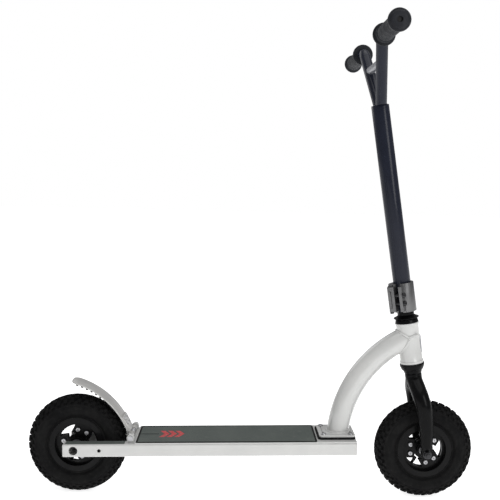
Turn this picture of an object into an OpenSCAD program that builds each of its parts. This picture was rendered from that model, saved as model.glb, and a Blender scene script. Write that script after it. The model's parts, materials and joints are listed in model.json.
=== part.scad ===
// Kick scooter with a flat deck, two air-filled tyres, a curved neck and a V-shaped handlebar.
// X points forwards, Y to the rider's left and Z up. The origin is on the ground, midway
// between the axles. Steering parts are drawn upright in the fork's own frame, whose origin
// is the front axle and whose Z runs up the steering axis.

/* [Wheels] */
// Distance between the two axles
wheelbase = 698; // [680:1:780]
// Outside diameter of the tyres
tyre_d = 198; // [186:1:204]
// Width of the tyres
tyre_w = 48; // [44:1:50]
// Diameter on which the tyre beads sit
bead_d = 100; // [96:1:102]
// Number of spokes in each rim
spoke_count = 3; // [3:1:5]
// Width of each spoke
spoke_w = 38; // [20:1:40]
// Diameter of the axles
axle_d = 8; // [6:0.5:9]

/* [Deck] */
// Outside width over the two rails
deck_w = 115; // [110:1:150]
// Height and width of the square rails
rail_size = 25; // [22:1:28]
// Wall thickness of the rails and cross tubes
rail_wall = 2; // [1.5:0.1:3]
// Distance from the middle of the neck's foot to the front end of the rails
neck_lead = 33; // [30:1:40]
// Gap between the rear tyre's tread and the rear edge of the deck plate
deck_gap = 19.5; // [17:0.5:30]
// Thickness of the deck plate
deck_t = 2; // [1.5:0.1:4]
// Thickness of the grip tape
tape_t = 0.8; // [0.5:0.1:1.5]
// Slope of the deck, rising towards the front, in degrees
deck_pitch = 1.3; // [0:0.1:2.5]
// Diameter of the accessory hole through the right rail
accessory_hole_d = 7; // [5:0.5:8]

/* [Neck and head] */
// Outside diameter of the curved neck tube
neck_d = 44.4; // [38:0.1:44.6]
// Wall thickness of the neck tube
neck_wall = 2.5; // [2:0.1:4]
// Bend radius of the neck tube's centre line
neck_bend_r = 238; // [225:1:250]
// Distance from the front axle forwards to the centre of the neck's bend
neck_centre_ahead = 63; // [55:1:70]
// Height of the centre of the neck's bend above the axles
neck_centre_up = 13; // [8:1:20]
// Width of the neck's base plate
base_w = 76; // [70:1:84]
// Length of the neck's base plate
base_l = 72; // [68:1:74]
// Outside diameter of the head tube
head_d = 45; // [45:0.5:48]
// Length of the head tube
head_l = 83; // [78:1:90]
// Height of the head tube's lower end above the front axle, along the steering axis
head_start = 178.5; // [175:0.5:185]
// Backward lean of the steering axis, in degrees
lean = 9.3; // [8:0.1:11]

/* [Fork] */
// Outside diameter of the steerer tube
steerer_d = 28.6; // [25.4:0.1:29]
// Height of the steerer's top above the front axle, along the steering axis
steerer_top = 470; // [420:1:520]
// Distance of each fork leg from the middle
leg_y = 43; // [41:0.5:48]
// Diameter of the fork legs where they are thickest
leg_d = 28; // [24:0.5:28]
// How many times deeper the fork legs are from front to back than across
leg_stretch = 1.2; // [1:0.02:1.3]

/* [Handlebar] */
// Overall width over the grips
bar_w = 530; // [460:1:620]
// Height of the grips above the front axle, along the steering axis
grip_height = 812.7; // [790:1:860]
// Wall thickness of the lower bar tube, which slides over the steerer
stem_wall = 3.15; // [2.5:0.05:4]
// Height of the lower bar tube's top, along the steering axis
stem_top = 696; // [670:1:710]
// Outside diameter of the upright tubes
bar_d = 22.2; // [20:0.1:23]
// Diameter of the crossbar
crossbar_d = 16; // [14:0.5:18]
// Height of the crossbar, along the steering axis
crossbar_height = 771; // [760:1:780]
// Angle at which the uprights rise, in degrees
upright_rise = 52; // [46:1:58]
// Length of each grip
grip_l = 145; // [110:1:146]
// Diameter of each grip's body
grip_d = 31; // [28:0.5:34]
// Diameter of the flanges at both ends of a grip
grip_flange_d = 42; // [38:0.5:46]

/* [Clamp] */
// Wall thickness of the clamp collar
collar_wall = 5.05; // [4:0.05:6]
// Height of the clamp collar
collar_h = 58; // [54:1:60]
// Direction in which the collar's gap faces, in degrees from straight ahead
gap_direction = 235; // [225:1:245]
// Width of the gap between the collar's two ears
gap_w = 10; // [8:0.5:12]

/* [Brake fender] */
// Width of the fender
fender_w = 46; // [42:1:62]
// Thickness of the fender
fender_t = 3; // [2:0.1:3.2]
// How much larger the radius of the fender's outer face is than the tyre's
fender_spread = 65.4; // [64:0.1:67]
// Diameter of the fender's hinge pin
hinge_pin_d = 6; // [5:0.5:6.5]

/* [Fits] */
// Radial clearance between a turning or sliding part and its shaft
run_gap = 0.06; // [0.03:0.01:0.1]
// Clearance round a bolt in its hole
bolt_gap = 0.1; // [0.05:0.01:0.2]
// Gap left between neighbouring parts that move past each other
side_gap = 0.4; // [0.3:0.1:0.6]

/* [Hidden] */
$fn = 64;

// Main positions
axle_z = tyre_d / 2;
rear_x = -wheelbase / 2;
front_x = wheelbase / 2;
rail_y = deck_w / 2 - rail_size / 2;
rail_inner_y = deck_w / 2 - rail_size;
rail_top = rail_size / 2;
plug_t = 3;
rail_back = -21;

// Deck: the rails reach past the foot of the neck, and the plate starts clear of the tyre
neck_cx = front_x + neck_centre_ahead;
neck_cz = axle_z + neck_centre_up;
neck_x = neck_cx - neck_bend_r;
rail_reach = neck_x - rear_x + neck_lead;
deck_start = axle_z + deck_gap;
tape_margin = 3;
tape_end = rail_reach - 78;
mark_x = 164;
gasket_t = 3.5;
gasket_margin = 3;
base_t = 4;
base_back = rail_reach - base_l - 0.5;
base_bottom = rail_top + deck_t + gasket_t;
base_top = base_bottom + base_t;
neck_bolt_d = 6;
neck_bolt_inset = 9;
accessory_x = 50.5;
access_hole_d = 17;

// Neck: it follows its bend up to the steering axis
steer_up = [-sin(lean), cos(lean)];
neck_to_axle = [front_x - neck_cx, axle_z - neck_cz];
along = neck_to_axle * steer_up;
neck_hit = sqrt(along * along - neck_to_axle * neck_to_axle + neck_bend_r * neck_bend_r) - along;
hit = neck_to_axle + neck_hit * steer_up;
neck_end_angle = atan2(hit[1], hit[0]);

// Head tube and headset, measured along the steering axis from the front axle
head_end = head_start + head_l;
head_bore_d = steerer_d + 5.4;
rim_ring_h = 5;
rim_ring_d = head_d + 2;
cup_bearing_d = steerer_d + 10.4;
lower_cup_h = 13.5;
upper_cup_h = 7;
cup_insert = 9;
cone_start = head_end + upper_cup_h + side_gap;
cone_h = 8;
cone_d = steerer_d + 21.4;
lock_nut_d = steerer_d + 4.4;
lock_nut_h = 7.5;
stem_start = cone_start + cone_h + lock_nut_h + side_gap;
race_top = head_start - lower_cup_h - side_gap;
race_h = 7;
crown_boss_d = steerer_d + 5.4;

// Fork legs: each follows three straight stretches with rounded corners
crown_top = race_top - race_h;
crown_split = 112;
arm_top = [0, 10, 140];
arm_low = [2, leg_y - 2, crown_split];
leg_mid = [4, leg_y, 78];
leg_tip_d = leg_d - 6;
leg_end = [1, leg_y - 2, leg_tip_d / 2 + 9];
lug_t = 9;
lug_y = leg_y - 8.5;
lug_d = 26;
nut_h = 6.5;
nut_d = 15;

// Wheels, measured across from the middle of the wheel
section_w = tyre_w / 2;
section_h = (tyre_d - bead_d) / 4 - 0.5;
section_y = tyre_d / 2 - section_h;
tyre_wall = 4;
bead_in = 11;
bead_out = 15;
bead_h = 8;
tube_wall = 1.5;
rim_bed = 6;
flange_in = bead_out + 0.1;
flange_out = bead_out + 3.5;
flange_lip = 4.5;
web_in = 3;
web_out = 7;
window_r = bead_d / 2 - 12;
hub_r = 20;
boss_r = 15;
boss_out = 18;
bearing_d = 22;
bearing_w = 7;
bearing_in = 10.5;
bearing_out = bearing_in + bearing_w;
rim_bolt_r = bead_d / 2 - 22;
rim_bolt_d = 5;
rim_bolt_spread = 19;
rim_bolt_boss_d = 12;
spacer_d = 12;
valve_y = 6;
valve_foot = bead_d / 2 - 22;
front_window_angle = 240;
rear_window_angle = 249;

// Handlebar
stem_d = steerer_d + 2 * stem_wall;
bar_bend_r = 30;
bar_wall = 2;
upright_foot_y = 11.8;
upright_rise_l = (grip_height - stem_top) / sin(upright_rise);
upright_corner = upright_foot_y + upright_rise_l * cos(upright_rise);
bend_reach = bar_bend_r * tan(upright_rise / 2);
bar_end = bar_w / 2 - 4;
plug_l = 12;

// Clamp: u runs out through the gap between the ears, v across it
collar_d = stem_d + 2 * collar_wall;
ear_out = collar_d / 2 + 10.5;
ear_t = 6;
clamp_bolt_u = collar_d / 2 + 5.5;
clamp_bolt_d = 6;
clamp_bolt_z = [20, 36];
lever_pin_d = 5;
lever_v = -(gap_w / 2 + ear_t + 5);
lug_z = 4;
lug_h = 8;
lug_eye_d = 9;
lever_r = collar_d / 2 + 8.1;
lever_t = 4;
lever_sweep = 82;

// Brake fender: its bend centre and hinge pin are measured in the deck's frame
fender_cx = -49.8;
fender_cz = -29.8;
fender_r = axle_z + fender_spread;
hinge_x = deck_start - 8;
hinge_z = rail_top + 8;
hinge_angle = atan2(hinge_z - fender_cz, hinge_x - fender_cx);
fender_from = hinge_angle + 3.6;
fender_to = 75.5;
fender_tip_x = fender_cx + fender_r * cos(fender_to) - 0.4;
leaf_t = 2.5;
leaf_from = hinge_angle + 1.1;
leaf_to = hinge_angle + 13.6;
rivet_angles = [hinge_angle + 8, hinge_angle + 11.5];
knuckle_d = hinge_pin_d + 4.6;
knuckle_in = 12;
ear_in = max(rail_inner_y + 0.5, fender_w / 2 + 2);
bracket_y = ear_in + 11;
bracket_d = hinge_pin_d + 9;

// ---------------------------------------------------------------- shared frames and shapes

module deck_frame() {
  translate([rear_x, 0, axle_z]) rotate([0, -deck_pitch, 0]) children();
}

module steer_frame() {
  translate([front_x, 0, axle_z]) rotate([0, -lean, 0]) children();
}

module rear_axle_frame() {
  translate([rear_x, 0, axle_z]) children();
}

module clamp_frame() {
  steer_frame() translate([0, 0, stem_start]) rotate([0, 0, gap_direction]) children();
}

// Turns a shape drawn round Z so that it runs along Y
module along_y() {
  rotate([-90, 0, 0]) children();
}

// Stands a flat outline drawn in X and Y up in the Y-Z plane, and its height along X
module across_x() {
  rotate([90, 0, 90]) children();
}

module both_sides() {
  children();
  mirror([0, 1, 0]) children();
}

module rounded_rect(w, h, r) {
  square([w - 2 * r, h], center = true);
  square([w, h - 2 * r], center = true);
  for (sx = [-1, 1], sy = [-1, 1])
    translate([sx * (w / 2 - r), sy * (h / 2 - r)]) circle(r = r);
}

module pipe(d_out, d_in, h) {
  difference() {
    cylinder(d = d_out, h = h);
    translate([0, 0, -1]) cylinder(d = d_in, h = h + 2);
  }
}

// Hexagon head or nut by its width across the corners
module hexagon(d, h) {
  cylinder(d = d, h = h, $fn = 6);
}

// ---------------------------------------------------------------- deck

module rail_outline() {
  difference() {
    rounded_rect(rail_size, rail_size, 3);
    rounded_rect(rail_size - 2 * rail_wall, rail_size - 2 * rail_wall, 1);
  }
}

// Right rail: a square tube with the axle hole and its access hole
module rail() {
  rail_l = rail_reach - rail_back - 2 * plug_t;
  difference() {
    translate([rail_back + plug_t, -rail_y, 0]) across_x() linear_extrude(rail_l) rail_outline();
    translate([0, -deck_w, 0]) along_y() cylinder(d = axle_d + 2 * bolt_gap, h = deck_w);
    translate([0, -deck_w, 0]) along_y() cylinder(d = access_hole_d, h = deck_w - rail_y);
  }
}

module rail_right() {
  color("white") deck_frame() difference() {
    rail();
    translate([accessory_x, -deck_w, 0]) along_y() cylinder(d = accessory_hole_d, h = deck_w);
  }
}

module rail_left() {
  color("white") deck_frame() mirror([0, 1, 0]) rail();
}

module rail_plug() {
  spigot = rail_size - 2 * rail_wall - 0.2;
  across_x() linear_extrude(plug_t) rounded_rect(rail_size, rail_size, 3);
  translate([plug_t, 0, 0]) across_x() linear_extrude(8) rounded_rect(spigot, spigot, 1);
}

module rail_plugs() {
  color("white") deck_frame() both_sides() {
    translate([rail_back, -rail_y, 0]) rail_plug();
    translate([rail_reach, -rail_y, 0]) mirror([1, 0, 0]) rail_plug();
  }
}

module cross_tube(l) {
  difference() {
    translate([0, -rail_inner_y, -rail_top]) cube([l, 2 * rail_inner_y, rail_size]);
    translate([rail_wall, -deck_w, rail_wall - rail_top])
      cube([l - 2 * rail_wall, 2 * deck_w, rail_size - 2 * rail_wall]);
  }
}

module neck_bolt_places() {
  for (px = [neck_bolt_inset, base_l - neck_bolt_inset], sy = [-1, 1])
    translate([base_back + px, sy * (base_w / 2 - neck_bolt_inset), 0]) children();
}

module front_cross_tube() {
  color("gainsboro") deck_frame() difference() {
    translate([base_back + 1, 0, 0]) cross_tube(base_l - 2);
    neck_bolt_places() cylinder(d = neck_bolt_d + 2 * bolt_gap, h = rail_size);
  }
}

module rear_cross_tube() {
  color("gainsboro") deck_frame() translate([deck_start + 1, 0, 0]) cross_tube(rail_size);
}

module deck_plate() {
  plate_l = rail_reach - deck_start;
  color("white") deck_frame() difference() {
    translate([deck_start + plate_l / 2, 0, rail_top])
      linear_extrude(deck_t) rounded_rect(plate_l, deck_w - 2, 4);
    neck_bolt_places() cylinder(d = neck_bolt_d + 2 * bolt_gap, h = rail_size);
  }
}

// Plain chevrons that point forwards
module mark_outline() {
  for (i = [0:2])
    translate([mark_x + i * 15, 0])
      polygon([[0, -20], [10, -20], [20, 0], [10, 20], [0, 20], [10, 0]]);
}

module grip_tape() {
  tape_start = deck_start + tape_margin;
  tape_l = tape_end - tape_start;
  color("dimgray") deck_frame() translate([0, 0, rail_top + deck_t]) linear_extrude(tape_t)
    difference() {
      translate([tape_start + tape_l / 2, 0]) rounded_rect(tape_l, deck_w - 2 * tape_margin, 4);
      mark_outline();
    }
}

// Red film let into the tape, level with its surface
module deck_mark() {
  color("crimson") deck_frame() translate([0, 0, rail_top + deck_t]) linear_extrude(tape_t) mark_outline();
}

// ---------------------------------------------------------------- neck and head

module neck_gasket() {
  gasket_l = base_l + gasket_margin;
  color("black") deck_frame() difference() {
    translate([rail_reach - gasket_l / 2 - 0.2, 0, rail_top + deck_t])
      linear_extrude(gasket_t) rounded_rect(gasket_l, base_w + 2 * gasket_margin, 8);
    neck_bolt_places() cylinder(d = neck_bolt_d + 2 * bolt_gap, h = rail_size);
  }
}

module neck_base_plate() {
  color("white") deck_frame() difference() {
    translate([base_back + base_l / 2, 0, base_bottom])
      linear_extrude(base_t) rounded_rect(base_l, base_w, 7);
    neck_bolt_places() cylinder(d = neck_bolt_d + 2 * bolt_gap, h = 2 * rail_size);
  }
}

module neck_bolts() {
  shank = base_top - rail_top + 6.5;
  color("silver") deck_frame() neck_bolt_places() {
    translate([0, 0, base_top - shank]) cylinder(d = neck_bolt_d, h = shank);
    translate([0, 0, base_top]) cylinder(d1 = 10.5, d2 = 8, h = 3);
  }
}

// The bend of the neck, drawn from its upright foot to the steering axis
module neck_bend(d) {
  translate([neck_cx, 0, neck_cz]) rotate([90, 0, 0]) rotate([0, 0, neck_end_angle])
    rotate_extrude(angle = 184 - neck_end_angle) translate([neck_bend_r, 0]) circle(d = d);
}

module neck_tube() {
  color("white") difference() {
    neck_bend(neck_d);
    neck_bend(neck_d - 2 * neck_wall);
    steer_frame() cylinder(d = head_d, h = 400);
    deck_frame() translate([0, -deck_w, base_top - 100]) cube([rail_reach + 20, 2 * deck_w, 100]);
  }
}

module head_tube() {
  color("white") steer_frame() translate([0, 0, head_start]) difference() {
    union() {
      cylinder(d = head_d, h = head_l);
      cylinder(d = rim_ring_d, h = rim_ring_h);
      translate([0, 0, head_l - rim_ring_h]) cylinder(d = rim_ring_d, h = rim_ring_h);
    }
    translate([0, 0, -1]) cylinder(d = head_bore_d, h = head_l + 2);
  }
}

// Plain oval plate that follows the front of the head tube
module head_badge() {
  badge_w = 27;
  badge_h = 36;
  badge_t = 1.2;
  color("silver") steer_frame() translate([0, 0, head_start + 36]) intersection() {
    translate([0, 0, -badge_h]) pipe(head_d + 2 * badge_t, head_d, 2 * badge_h);
    across_x() linear_extrude(head_d) {
      square([badge_w, badge_h - badge_w], center = true);
      for (s = [-1, 1])
        translate([0, s * (badge_h - badge_w) / 2]) circle(d = badge_w);
    }
  }
}

// Cup outline as radius and height: a flared body outside the tube and a plain insert
module upper_cup() {
  color("black") steer_frame() translate([0, 0, head_end]) difference() {
    union() {
      translate([0, 0, -cup_insert]) cylinder(d = head_bore_d, h = cup_insert + 1);
      cylinder(d1 = rim_ring_d, d2 = cup_bearing_d + 4, h = upper_cup_h);
    }
    translate([0, 0, -cup_insert - 1]) cylinder(d = steerer_d + 1.6, h = 40);
    translate([0, 0, upper_cup_h - 6]) cylinder(d = cup_bearing_d, h = 10);
  }
}

module lower_cup() {
  color("black") steer_frame() translate([0, 0, head_start]) difference() {
    union() {
      translate([0, 0, -1]) cylinder(d = head_bore_d, h = cup_insert + 1);
      translate([0, 0, -5]) cylinder(d = cup_bearing_d + 10, h = 5);
      translate([0, 0, -lower_cup_h])
        cylinder(d1 = cup_bearing_d + 3, d2 = cup_bearing_d + 10, h = lower_cup_h - 5);
    }
    translate([0, 0, -lower_cup_h - 1]) cylinder(d = steerer_d + 1.6, h = 40);
    translate([0, 0, -lower_cup_h - 1]) cylinder(d = cup_bearing_d, h = 8);
  }
}

// Two ring bearings that guide the steerer inside the cups
module headset_bearings() {
  bore = steerer_d + 2 * run_gap;
  color("silver") steer_frame() {
    translate([0, 0, head_start - lower_cup_h + 1]) pipe(cup_bearing_d - 0.04, bore, 6);
    translate([0, 0, head_end + upper_cup_h - 6]) pipe(cup_bearing_d - 0.04, bore, 6);
  }
}

// ---------------------------------------------------------------- rear axle and brake

// Runs a shape along the hinge of the brake
module hinge_line() {
  deck_frame() translate([hinge_x, 0, hinge_z]) along_y() children();
}

// One ear on each rail, joined by a bar across the deck's rear edge
module fender_bracket() {
  ear_h = hinge_z - rail_top;
  bar_l = 8;
  bar_t = 2.4;
  color("white") difference() {
    union() {
      deck_frame() both_sides()
        translate([hinge_x, bracket_y, hinge_z]) rotate([90, 0, 0]) linear_extrude(bracket_y - ear_in) {
          circle(d = bracket_d);
          translate([1 - bracket_d / 2, -ear_h]) square([bracket_d - 2, ear_h]);
        }
      deck_frame() translate([deck_start - 0.5 - bar_l, 0.5 - bracket_y, rail_top])
        cube([bar_l, 2 * bracket_y - 1, bar_t]);
    }
    hinge_line() translate([0, 0, -deck_w]) cylinder(d = hinge_pin_d + 2 * bolt_gap, h = 2 * deck_w);
  }
}

module fender_pin() {
  color("silver") hinge_line() {
    translate([0, 0, -bracket_y]) cylinder(d = hinge_pin_d, h = 2 * bracket_y + 3);
    translate([0, 0, -bracket_y - 2.5]) cylinder(d = hinge_pin_d + 4, h = 2.5);
    translate([0, 0, bracket_y + 0.2]) cylinder(d = hinge_pin_d + 3, h = 1.2);
  }
}

module rear_axle() {
  grip_y = rail_inner_y + rail_wall;
  color("silver") rear_axle_frame() along_y() difference() {
    union() {
      translate([0, 0, -grip_y]) cylinder(d = axle_d, h = 2 * grip_y + 9);
      translate([0, 0, -grip_y - 8]) cylinder(d = 13, h = 8);
    }
    translate([0, 0, -grip_y - 9]) hexagon(6.9, 6);
  }
}

module rear_axle_nut() {
  color("silver") rear_axle_frame() along_y() translate([0, 0, rail_inner_y + rail_wall])
    difference() {
      hexagon(nut_d, nut_h);
      translate([0, 0, -1]) cylinder(d = axle_d + 2 * bolt_gap, h = nut_h + 2);
    }
}

module axle_spacer(reach) {
  start = bearing_out + side_gap;
  translate([0, 0, start]) pipe(spacer_d, axle_d + 2 * bolt_gap, reach - start);
}

module rear_spacers() {
  color("silver") rear_axle_frame() both_sides() along_y() axle_spacer(rail_inner_y);
}

// A stretch of a plate bent round the fender's centre
module fender_sector(r_in, t, from, to, w) {
  deck_frame() translate([fender_cx, 0, fender_cz]) rotate([90, 0, 0]) rotate([0, 0, from])
    rotate_extrude(angle = to - from) translate([r_in, -w / 2]) square([t, w]);
}

module rivet_places() {
  rivet_y = fender_w / 2 - 13;
  for (a = rivet_angles, sy = [-1, 1])
    deck_frame() translate([fender_cx, sy * rivet_y, fender_cz]) rotate([0, 90 - a, 0]) children();
}

module fender() {
  trim_l = 240;
  color("lightgray") difference() {
    intersection() {
      fender_sector(fender_r - fender_t, fender_t, fender_from, fender_to, fender_w);
      deck_frame() translate([fender_tip_x + trim_l / 2, 0, 0])
        linear_extrude(200) rounded_rect(trim_l, fender_w + 1, 14);
    }
    rivet_places() translate([0, 0, fender_r - 10]) cylinder(d = 4 + 2 * bolt_gap, h = 20);
  }
}

// Leaf with two knuckles that turn on the hinge pin
module fender_hinge() {
  barrel_l = 2 * (ear_in - 2);
  color("lightgray") difference() {
    union() {
      fender_sector(fender_r, leaf_t, leaf_from, leaf_to, fender_w - 4);
      hinge_line() translate([0, 0, -barrel_l / 2]) cylinder(d = knuckle_d, h = barrel_l);
    }
    hinge_line() translate([0, 0, -deck_w]) cylinder(d = hinge_pin_d + 2 * run_gap, h = 2 * deck_w);
    hinge_line() translate([0, 0, -knuckle_in]) cylinder(d = knuckle_d + 1, h = 2 * knuckle_in);
    rivet_places() translate([0, 0, fender_r - 10]) cylinder(d = 4 + 2 * bolt_gap, h = 20);
  }
}

module fender_rivets() {
  color("silver") rivet_places() {
    translate([0, 0, fender_r - fender_t - 0.2]) cylinder(d = 4, h = fender_t + leaf_t + 0.4);
    translate([0, 0, fender_r + leaf_t]) cylinder(d1 = 7.5, d2 = 5, h = 1.6);
  }
}

// Coil body of the return spring, round the pin between the two knuckles
module fender_spring() {
  color("gray") hinge_line() translate([0, 0, -9])
    pipe(hinge_pin_d + 3.6, hinge_pin_d + 0.8, 18);
}

// ---------------------------------------------------------------- wheels, drawn round Z

// Round section of the tyre or of a layer inside it, in step by the same amount all round
module section_outline(inset) {
  translate([section_y, 0])
    scale([(section_h - inset) / (section_w - inset), 1]) circle(r = section_w - inset);
}

module tyre_shape() {
  rotate_extrude() difference() {
    union() {
      section_outline(0);
      for (s = [-1, 1])
        translate([bead_d / 2, s * (bead_in + bead_out) / 2 - 2]) square([bead_h, 4]);
    }
    section_outline(tyre_wall);
    translate([0, -bead_in]) square([bead_d / 2 + 10, 2 * bead_in]);
  }
}

module inner_tube_shape() {
  tube_inset = tyre_wall + 0.1;
  valve_reach = section_y - section_h + tube_inset + 3;
  difference() {
    union() {
      rotate_extrude() section_outline(tube_inset);
      translate([0, 0, valve_y]) rotate([0, 90, 0]) translate([0, 0, valve_foot])
        cylinder(d = 6, h = valve_reach - valve_foot);
    }
    rotate_extrude() section_outline(tube_inset + tube_wall);
  }
}

module web_outline() {
  difference() {
    circle(r = bead_d / 2 - 2);
    circle(r = window_r);
  }
  circle(r = hub_r);
  for (i = [0:spoke_count - 1])
    rotate((i + 0.5) * 360 / spoke_count)
      translate([hub_r - 3, -spoke_w / 2]) square([window_r - hub_r + 5, spoke_w]);
}

// Two bolts through each spoke
module rim_bolt_places() {
  for (i = [0:spoke_count - 1], s = [-1, 1])
    rotate((i + 0.5) * 360 / spoke_count + s * rim_bolt_spread) translate([rim_bolt_r, 0, 0]) children();
}

// One half of the split rim, from the middle plane outwards
module rim_half(has_valve_hole) {
  difference() {
    union() {
      rotate_extrude() {
        translate([bead_d / 2 - rim_bed, 0]) square([rim_bed, flange_out]);
        translate([bead_d / 2 - rim_bed, flange_in])
          square([rim_bed + flange_lip, flange_out - flange_in]);
      }
      translate([0, 0, web_in]) linear_extrude(web_out - web_in) web_outline();
      cylinder(r = boss_r, h = boss_out);
      rim_bolt_places() cylinder(d = rim_bolt_boss_d, h = web_out);
    }
    translate([0, 0, -1]) cylinder(d = axle_d + 4, h = boss_out + 2);
    translate([0, 0, bearing_in]) cylinder(d = bearing_d, h = bearing_w + 1);
    rim_bolt_places() translate([0, 0, -1]) cylinder(d = rim_bolt_d + 2 * bolt_gap, h = web_out + 2);
    if (has_valve_hole)
      translate([0, 0, valve_y]) rotate([0, 90, 0]) cylinder(d = 6.4, h = bead_d / 2 + 5);
  }
}

module rim_bolt_set() {
  rim_bolt_places() {
    translate([0, 0, -web_out - 4]) cylinder(d = rim_bolt_d, h = 2 * web_out + 5);
    translate([0, 0, -web_out - 4]) cylinder(d = 8.5, h = 4);
    translate([0, 0, web_out]) hexagon(9, 4);
  }
}

module bearing_pair() {
  for (s = [0, 1])
    mirror([0, 0, s]) translate([0, 0, bearing_in]) difference() {
      cylinder(d = bearing_d - 0.04, h = bearing_w);
      translate([0, 0, -1]) cylinder(d = axle_d + 2 * run_gap, h = bearing_w + 2);
      translate([0, 0, bearing_w - 0.5]) pipe(bearing_d - 4, axle_d + 3, 1);
    }
}

module rear_wheel_frame() {
  rear_axle_frame() along_y() rotate(-rear_window_angle) children();
}

module front_wheel_frame() {
  steer_frame() along_y() rotate(lean - front_window_angle) children();
}

module rear_tyre() {
  color("dimgray") rear_wheel_frame() tyre_shape();
}

module rear_inner_tube() {
  color("black") rear_wheel_frame() inner_tube_shape();
}

module rear_rim_right() {
  color("black") rear_wheel_frame() mirror([0, 0, 1]) rim_half(false);
}

module rear_rim_left() {
  color("black") rear_wheel_frame() rim_half(true);
}

module rear_rim_bolts() {
  color("silver") rear_wheel_frame() rim_bolt_set();
}

module rear_bearings() {
  color("silver") rear_wheel_frame() bearing_pair();
}

module front_tyre() {
  color("dimgray") front_wheel_frame() tyre_shape();
}

module front_inner_tube() {
  color("black") front_wheel_frame() inner_tube_shape();
}

module front_rim_right() {
  color("black") front_wheel_frame() mirror([0, 0, 1]) rim_half(false);
}

module front_rim_left() {
  color("black") front_wheel_frame() rim_half(true);
}

module front_rim_bolts() {
  color("silver") front_wheel_frame() rim_bolt_set();
}

module front_bearings() {
  color("silver") front_wheel_frame() bearing_pair();
}

// ---------------------------------------------------------------- fork

module steerer() {
  color("dimgray") steer_frame() translate([0, 0, crown_top - 26])
    pipe(steerer_d, steerer_d - 5, steerer_top - crown_top + 26);
}

module round_end(place, d) {
  translate(place) sphere(d = d, $fn = 28);
}

// Left arm of the fork, from the steerer down to the end of the leg
module fork_arm() {
  scale([leg_stretch, 1, 1]) {
    hull() {
      round_end(arm_top, leg_d);
      round_end(arm_low, leg_d);
    }
    hull() {
      round_end(arm_low, leg_d);
      round_end(leg_mid, leg_d - 0.5);
    }
    hull() {
      round_end(leg_mid, leg_d - 0.5);
      round_end(leg_end, leg_tip_d);
    }
  }
}

module below_split() {
  translate([-50, -100, crown_split - 200]) cube([100, 200, 200]);
}

module fork_crown() {
  color("black") steer_frame() difference() {
    union() {
      both_sides() fork_arm();
      translate([0, 0, crown_top - 30]) cylinder(d = crown_boss_d, h = 30);
    }
    below_split();
    translate([0, 0, crown_top - 26]) cylinder(d = steerer_d, h = 60);
  }
}

module fork_leg() {
  difference() {
    union() {
      intersection() {
        fork_arm();
        below_split();
      }
      translate([0, lug_y, 0]) along_y() cylinder(d = lug_d, h = lug_t);
      translate([-leg_tip_d / 2, lug_y, 0]) cube([leg_tip_d + 1, lug_t, leg_end[2]]);
    }
    along_y() cylinder(d = axle_d + 2 * bolt_gap, h = 100);
  }
}

module fork_leg_right() {
  color("black") steer_frame() mirror([0, 1, 0]) fork_leg();
}

module fork_leg_left() {
  color("black") steer_frame() fork_leg();
}

module crown_race() {
  color("black") steer_frame() translate([0, 0, crown_top]) difference() {
    cylinder(d1 = crown_boss_d, d2 = crown_boss_d + 4, h = race_h);
    translate([0, 0, -1]) cylinder(d = steerer_d, h = race_h + 2);
  }
}

module top_cone() {
  color("black") steer_frame() translate([0, 0, cone_start]) difference() {
    union() {
      cylinder(d1 = cone_d - 10, d2 = cone_d, h = 2);
      translate([0, 0, 2]) cylinder(d = cone_d, h = 1.5);
      translate([0, 0, 3.5]) cylinder(d1 = cone_d - 4, d2 = lock_nut_d - 1, h = cone_h - 3.5);
    }
    translate([0, 0, -1]) cylinder(d = steerer_d, h = cone_h + 2);
  }
}

module lock_nut() {
  color("black") steer_frame() translate([0, 0, cone_start + cone_h])
    pipe(lock_nut_d, steerer_d, lock_nut_h);
}

module front_axle() {
  color("silver") steer_frame() translate([0, -leg_y - 13, 0]) along_y()
    cylinder(d = axle_d, h = 2 * leg_y + 26);
}

module front_axle_nuts() {
  color("dimgray") steer_frame() both_sides() translate([0, lug_y + lug_t, 0]) along_y()
    difference() {
      union() {
        cylinder(d = nut_d + 3, h = 1.5);
        translate([0, 0, 1.5]) hexagon(nut_d, nut_h);
      }
      translate([0, 0, -1]) cylinder(d = axle_d + 2 * bolt_gap, h = nut_h + 4);
    }
}

module front_spacers() {
  color("silver") steer_frame() both_sides() along_y() axle_spacer(lug_y);
}

// ---------------------------------------------------------------- handlebar

module stem_tube() {
  cap_t = 3;
  color("#2b2e3d") difference() {
    steer_frame() translate([0, 0, stem_start]) cylinder(d = stem_d, h = stem_top - stem_start);
    steer_frame() translate([0, 0, stem_start - 1])
      cylinder(d = steerer_d + 2 * run_gap, h = stem_top - stem_start + 1 - cap_t);
    clamp_frame() translate([0, -1.5, -1]) cube([stem_d, 3, 46]);
  }
}

// Left half of the bar: a straight rise, one bend and the level stretch that carries the grip.
// A shallow ring covers the joint between the rise and the bend.
module bar_run(d) {
  level_l = bar_end - upright_corner - bend_reach;
  across_x() translate([upright_corner + bend_reach, grip_height - bar_bend_r, 0]) {
    rotate([0, 0, 90]) rotate_extrude(angle = upright_rise) translate([bar_bend_r, 0]) circle(d = d);
    rotate([0, 0, 90 + upright_rise]) translate([bar_bend_r, 0, 0]) rotate([-90, 0, 0]) {
      cylinder(d = d, h = upright_rise_l + 30);
      translate([0, 0, -1]) cylinder(d = d + 0.3, h = 2);
    }
    translate([0, bar_bend_r, 0]) rotate([0, 90, 0]) cylinder(d = d, h = level_l);
  }
}

module upright() {
  difference() {
    bar_run(bar_d);
    bar_run(bar_d - 2 * bar_wall);
    translate([-50, -100, stem_top - 200]) cube([100, 300, 200]);
    translate([-50, -100, 0]) cube([100, 100, 1000]);
    translate([0, bar_end - 20, grip_height]) along_y() cylinder(d = bar_d - 2 * bar_wall, h = 40);
  }
}

module upright_right() {
  color("#2b2e3d") steer_frame() mirror([0, 1, 0]) upright();
}

module upright_left() {
  color("#2b2e3d") steer_frame() upright();
}

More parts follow.
